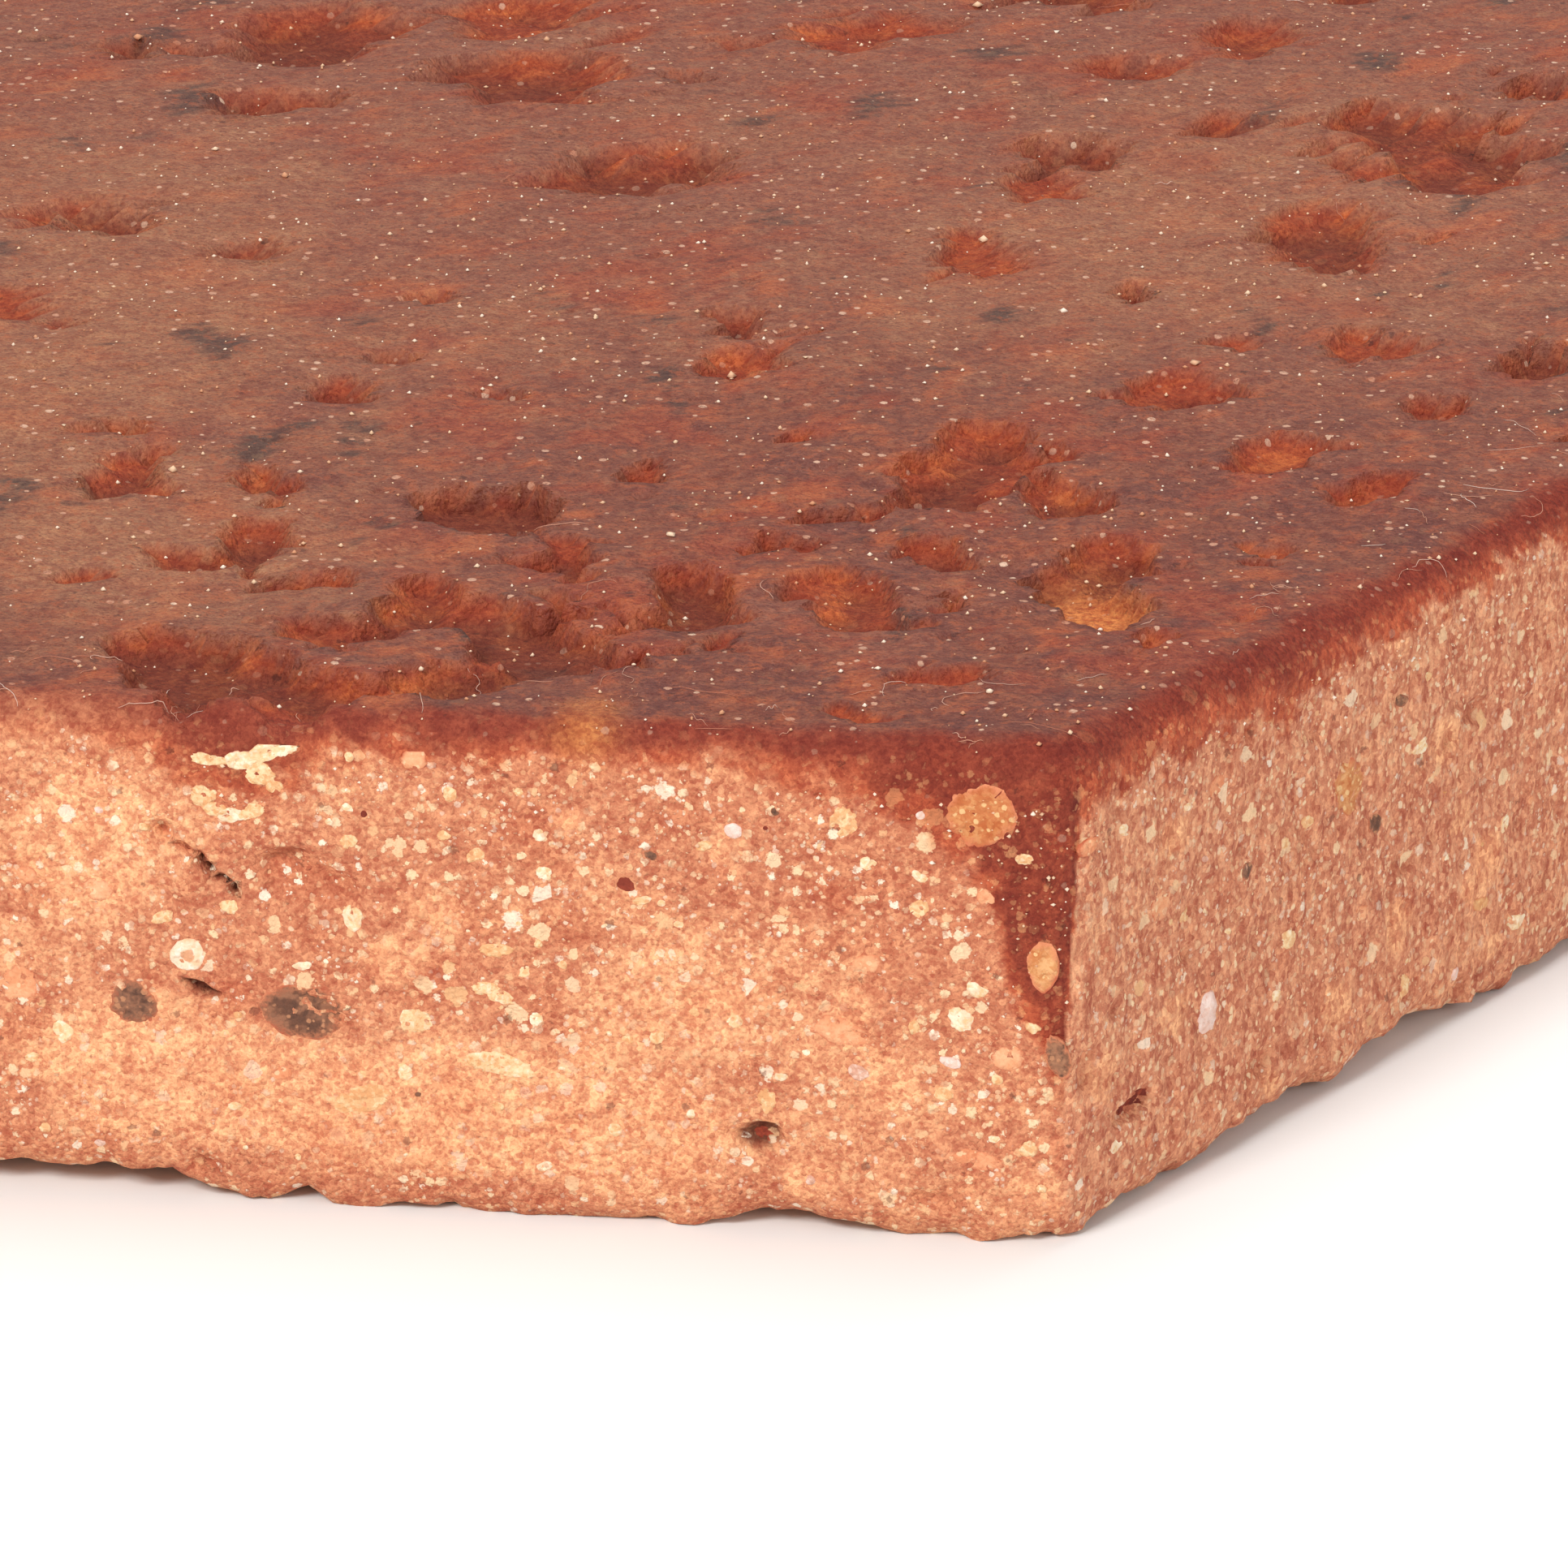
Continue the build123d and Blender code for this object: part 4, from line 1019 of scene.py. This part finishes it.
def clay_material(name):
    n = Nodes(name)
    tone, _ = n.attr("tone")
    _, spk = n.attr("specks")
    _, film = n.attr("film")
    _, soak = n.attr("soak")
    _, streak = n.attr("streak")
    n1, _ = n.noise(0.55, 3, 0.65)
    n2, _ = n.noise(0.15, 2, 0.6, offset=7)
    n3, _ = n.noise(2.2, 3, 0.6, offset=13)
    n4, _ = n.noise(0.5, 3, 0.65, offset=3, stretch=(1, 1, 0.42))
    raw = n.math("SUBTRACT", 1.0, soak, clamp=True)
    # the clay is a packing of fine grains, each of its own tone; on the sawn-looking faces they are drawn out upwards
    g1, h1 = n.grains(0.20, 5.5)
    g2, h2 = n.grains(0.22, 15.5, (1, 1, 0.7))
    g3, h3 = n.grains(0.42, 25.5)
    g = n.mixf(streak, g1, g2)
    g = n.mixf(n.math("MULTIPLY", film, 0.6), g, g3)
    grit = n.math("MULTIPLY_ADD", n.mixf(streak, n1, n4), 0.55, n.math("MULTIPLY", n2, 0.45))
    shade = n.ramp(grit, 0.36, 0.64, 0.66, 1.32)
    shade = n.math("MULTIPLY", shade, n.math("MULTIPLY_ADD", n.math("SUBTRACT", g, 0.5), n.math("MULTIPLY_ADD", streak, 0.16, 0.61), 1.0))
    cc = n.t.nodes.new("ShaderNodeCombineColor")
    shade_r = n.math("MULTIPLY_ADD", n.math("SUBTRACT", shade, 1.0), 0.55, 1.0)
    n.link(shade_r, cc.inputs[0]); n.link(shade, cc.inputs[1]); n.link(shade, cc.inputs[2])
    col = n.mix(1.0, tone, cc.outputs[0], "MULTIPLY")
    # redder and darker flecks of the clay itself
    col = n.mix(n.math("MULTIPLY", n.ramp(n3, 0.50, 0.64), 0.36), col, n.mix(1.0, col, (0.84, 0.62, 0.56), "MULTIPLY"))
    # fine pale grains all through the raw clay, fewer and more orange where the sealer soaked
    s1, a1, _ = n.specks(0.25, 0.12, 0.60, 0.66, 3.1, soft=0.16, wobble=0.8, bend=n2)
    s2, a2, _ = n.specks(0.46, 0.08, 0.56, 0.60, 9.7, soft=0.10, wobble=0.85, bend=n2)
    s3, a3, _ = n.specks(1.10, 0.05, 0.42, 0.50, 21.3, soft=0.05, wobble=0.85, bend=n1)
    s6, a6, _ = n.specks(0.29, 0.14, 0.58, 0.56, 27.3, soft=0.14, wobble=0.7, bend=n2, stretch=(1, 1, 0.80))
    pale = n.colour3(a2, CREAM2, CREAM, IVORY)
    soaked = n.mix(0.55, n.mix(1.0, tone, (1.7, 2.5, 2.2), "MULTIPLY"), tuple(srgb(240, 176, 122)))
    pale = n.mix(soak, pale, soaked)
    amount = n.math("MULTIPLY_ADD", spk, 0.95, 0.06, clamp=True)
    clump = n.ramp(n3, 0.36, 0.58, 0.25, 1.0)
    plain = n.math("SUBTRACT", 1.0, streak, clamp=True)
    col = n.mix(n.math("MULTIPLY", n.math("MULTIPLY", s1, 0.74), n.math("MULTIPLY", amount, clump)), col, n.mix(a1, n.mix(0.5, pale, tone), pale))
    col = n.mix(n.math("MULTIPLY", n.math("MULTIPLY", s6, 0.92), n.math("MULTIPLY", amount, streak)), col, n.mix(soak, n.colour3(a6, tuple(srgb(226, 160, 122)), tuple(srgb(240, 186, 146)), CREAM), soaked))
    col = n.mix(n.math("MULTIPLY", n.math("MULTIPLY", s2, n.math("MULTIPLY_ADD", plain, 0.45, 0.45)), n.math("MULTIPLY", amount, n.ramp(n1, 0.40, 0.54, 0.35, 1.0))), col, pale)
    pale3 = n.mix(soak, n.colour3(a3, tuple(srgb(240, 186, 134)), CREAM, IVORY), soaked)
    col = n.mix(n.math("MULTIPLY", n.math("MULTIPLY", s3, 0.92), n.math("MULTIPLY_ADD", spk, 0.7, 0.12, clamp=True)), col, pale3)
    # painted shade: dark spots stand for the shadow inside open pores on the sawn-looking faces
    col = n.mix(n.math("MULTIPLY", n.math("MULTIPLY", n.ramp(n4, 0.45, 0.33), streak), 0.38), col, n.mix(1.0, col, (0.66, 0.50, 0.46), "MULTIPLY"))
    # dark iron flecks
    s4, a4, _ = n.specks(0.95, 0.02, 0.24, 0.34, 33.3, soft=0.08, wobble=0.40, bend=n2)
    col = n.mix(n.math("MULTIPLY", s4, 0.62), col, n.mix(1.0, tone, (0.34, 0.30, 0.34), "MULTIPLY"))
    # dust and thin places on the film
    s5, a5, _ = n.specks(0.60, 0.06, 0.34, 0.50, 41.7, soft=0.07, wobble=0.25, bend=n2)
    col = n.mix(n.math("MULTIPLY", n.math("MULTIPLY", s5, 0.80), n.math("MULTIPLY_ADD", film, 0.75, n.math("MULTIPLY", soak, 0.25))), col, n.mix(a5, tuple(srgb(196, 128, 98)), tuple(srgb(236, 204, 176))))
    thin = n.math("MULTIPLY", n.ramp(n1, 0.52, 0.64), film)
    col = n.mix(n.math("MULTIPLY", thin, 0.58), col, tuple(srgb(158, 78, 46)))
    pinned = n.math("MULTIPLY", n.ramp(n2, 0.40, 0.30), film)
    col = n.mix(n.math("MULTIPLY", pinned, 0.75), col, n.mix(1.0, tone, (0.50, 0.44, 0.46), "MULTIPLY"))
    n.put(n.b.inputs["Base Color"], col)
    n.put(n.b.inputs["Roughness"], n.math("MULTIPLY_ADD", film, -0.30, n.math("MULTIPLY_ADD", soak, -0.10, 0.92)))
    n.b.inputs["Specular IOR Level"].default_value = 0.35
    n.b.inputs["IOR"].default_value = 1.5
    h = n.math("ADD", n.math("MULTIPLY", n1, 0.7), n.math("MULTIPLY", n2, 0.5))
    h = n.math("ADD", h, n.math("MULTIPLY", n.mixf(streak, h1, h2), -0.30))
    h = n.math("ADD", h, n.math("MULTIPLY", s2, 0.10))
    h = n.math("MULTIPLY", h, n.math("MULTIPLY_ADD", film, -0.25, 1.0))
    n.put(n.b.inputs["Normal"], n.bump(h, 0.25, 0.9))
    return n.mat


def stone_material(name, a, b, c, rough=0.85, spec=0.35, grain=0.22, dark=(0.6, 0.45, 0.4), dark_amount=0.5, rim=0.35, fleck=None, spot=0.0, soft=False, centre=None):
    """a, b, c: the three tones that one stone of the kind may have."""
    n = Nodes(name)
    _, edge = n.attr("rim")
    _, each = n.attr("each")
    n1, _ = n.noise(grain, 3, 0.65)
    n2, _ = n.noise(grain * 3.2, 2, 0.6, offset=5)
    g, hh = n.grains(0.19, 8.5)
    v = n.math("MULTIPLY_ADD", n.math("SUBTRACT", n1, 0.5), 1.9, each, clamp=True)
    v = n.math("MULTIPLY_ADD", n.math("SUBTRACT", g, 0.5), 0.55, v, clamp=True)
    col = n.colour3(v, a, b, c)
    col = n.mix(n.math("MULTIPLY", n.ramp(n2, 0.44, 0.60), dark_amount), col, n.mix(1.0, col, dark, "MULTIPLY"))
    if fleck is not None:
        s, _, _ = n.specks(0.26, 0.18, 0.60, 0.62, 17.0, soft=0.12, wobble=0.6, bend=n1)
        col = n.mix(n.math("MULTIPLY", s, 0.75), col, fleck)
    if spot:
        s, _, _ = n.specks(0.24, 0.10, 0.50, 0.45, 57.0, soft=0.10, wobble=0.5, bend=n1)
        col = n.mix(n.math("MULTIPLY", s, spot), col, tuple(srgb(206, 118, 80)))
    if centre is not None:
        _, mid = n.attr("mid")
        col = n.mix(n.math("MULTIPLY", n.ramp(n.math("MULTIPLY_ADD", n.math("SUBTRACT", n1, 0.5), 1.2, mid), 0.35, 0.75), 0.8), col, centre)
    lo, hi = (0.36, 0.60) if soft else (0.34, 0.56)
    reach = n.ramp(n.math("MULTIPLY_ADD", n.math("SUBTRACT", n1, 0.5), 1.4 if soft else 0.7, edge), 0.05 if soft else 0.45, 0.85)
    col = n.mix(n.math("MULTIPLY", reach, rim), col, n.mix(n.ramp(n2, lo, hi), tuple(srgb(196, 100, 68)), tuple(srgb(222, 138, 98))))
    n.put(n.b.inputs["Base Color"], col)
    n.b.inputs["Roughness"].default_value = rough
    n.b.inputs["Specular IOR Level"].default_value = spec
    n.put(n.b.inputs["Normal"], n.bump(n.math("ADD", n.math("MULTIPLY_ADD", hh, -0.3, n1), n.math("MULTIPLY", n2, 0.6)), 0.14, 0.85))
    return n.mat


T = lambda *c: tuple(srgb(*c))
MATS = {
    "cream": stone_material("mat_cream_grog", T(236, 180, 128), T(246, 212, 164), T(253, 234, 204), dark=(0.84, 0.64, 0.52), dark_amount=0.55, rim=.55, grain=.20, spot=.35),
    "lime": stone_material("mat_lime", T(246, 220, 190), T(253, 238, 220), T(255, 248, 238), dark=(0.9, 0.68, 0.48), dark_amount=0.7, rim=.25, spot=.25, centre=T(216, 140, 92)),
    "quartz": stone_material("mat_quartz", T(222, 168, 142), T(240, 200, 180), T(248, 222, 210), rough=0.35, spec=0.5, dark=(0.85, 0.68, 0.62), dark_amount=0.6, rim=.5, spot=.2),
    "iron": stone_material("mat_ironstone", T(152, 102, 76), T(128, 88, 68), T(168, 116, 86), rough=0.8, dark=(0.34, 0.32, 0.36), dark_amount=0.78, rim=.85, fleck=T(198, 138, 100), grain=.20, soft=True),
    "ochre": stone_material("mat_ochre_clay", T(198, 116, 68), T(214, 146, 92), T(230, 174, 120), dark=(0.82, 0.60, 0.48), dark_amount=0.75, rim=1.0, fleck=T(242, 202, 144), grain=.28, soft=True),
    "peach": stone_material("mat_peach_clay", T(228, 148, 106), T(238, 166, 122), T(242, 182, 138), dark=(0.88, 0.72, 0.64), dark_amount=0.6, rim=1.0, grain=.26, fleck=T(246, 204, 160), soft=True),
    "red": stone_material("mat_red_grog", T(146, 60, 42), T(166, 72, 48), T(124, 48, 36), dark=(0.6, 0.5, 0.5), dark_amount=0.5, rim=.6),
}
dn = Nodes("mat_dust")
_, each_ = dn.attr("each")
dn.put(dn.b.inputs["Base Color"], dn.colour3(each_, T(212, 150, 112), T(236, 200, 164), T(252, 234, 214)))
dn.b.inputs["Roughness"].default_value = 0.9
dust.data.materials.append(dn.mat)
ln = Nodes("mat_lint")
_, each_ = ln.attr("each")
ln.put(ln.b.inputs["Base Color"], ln.colour3(each_, T(190, 112, 84), T(208, 148, 122), T(234, 206, 190)))
ln.b.inputs["Roughness"].default_value = 0.6
lint.data.materials.append(ln.mat)
for ob in (dust, lint):
    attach(ob, "root")
skin.data.materials.append(clay_material("mat_sealed_clay"))
body.data.materials.append(clay_material("mat_fired_clay"))
for kind, ob in stone_obs.items():
    ob.data.materials.append(MATS[kind])
    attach(ob, "root"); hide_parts(NODE[kind])
for ob, node in ((skin, "sealed_skin"), (body, "clay_body")):
    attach(ob, "root"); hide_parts(node)

# ------------------------------------------------------------------ floor, light, camera
fm = bpy.data.meshes.new("floor")
fm.from_pydata([(-6, -6, 0), (6, -6, 0), (6, 6, 0), (-6, 6, 0)], [], [(0, 1, 2, 3)])
floor = bpy.data.objects.new("floor", fm)
bpy.context.scene.collection.objects.link(floor)
fn = Nodes("mat_floor")
fn.b.inputs["Base Color"].default_value = (0.905, 0.93, 0.925, 1)
fn.b.inputs["Roughness"].default_value = 1.0
fn.b.inputs["Specular IOR Level"].default_value = 0.0
fm.materials.append(fn.mat)

world = bpy.data.worlds.new("studio")
bpy.context.scene.world = world
world.use_nodes = True
world.node_tree.nodes["Background"].inputs[0].default_value = (1, 1, 1, 1)
world.node_tree.nodes["Background"].inputs[1].default_value = 0.40


def area(name, at, aim, size, watts, colour=(1, 1, 1)):
    d = bpy.data.lights.new(name, "AREA")
    d.shape, d.size, d.energy, d.color = "SQUARE", size, watts, colour
    o = bpy.data.objects.new(name, d)
    o.location = at
    o.rotation_euler = (Vector(aim) - Vector(at)).to_track_quat("-Z", "Y").to_euler()
    bpy.context.scene.collection.objects.link(o)
    return o


MID = (0.045, -0.07, 0.012)
area("key", (-0.45, -1.05, 0.95), MID, 0.45, 14.4, (1.0, 0.985, 0.965))
area("top_soft", (0.15, 0.35, 1.3), MID, 0.9, 7.6)
area("right_fill", (1.1, -0.7, 0.55), MID, 0.6, 3.7)

cam_d = bpy.data.cameras.new("camera")
cam = bpy.data.objects.new("camera", cam_d)
bpy.context.scene.collection.objects.link(cam)
cam_d.sensor_width, cam_d.sensor_fit = 36.0, "HORIZONTAL"
cam_d.lens = 10500 / 1932 * 36
cam_d.clip_start, cam_d.clip_end = 0.01, 20
ea, el = math.radians(7.40), math.radians(22.18)
cam.location = (0.08390112, -0.38375880, 0.13481572)
back = Vector((math.sin(ea) * math.cos(el), -math.cos(ea) * math.cos(el), math.sin(el)))
cam.rotation_euler = (-back).to_track_quat("-Z", "Y").to_euler()
bpy.context.scene.camera = cam
bpy.context.scene.view_settings.view_transform = "Standard"
bpy.context.scene.view_settings.look = "None"

bpy.context.view_layer.update()
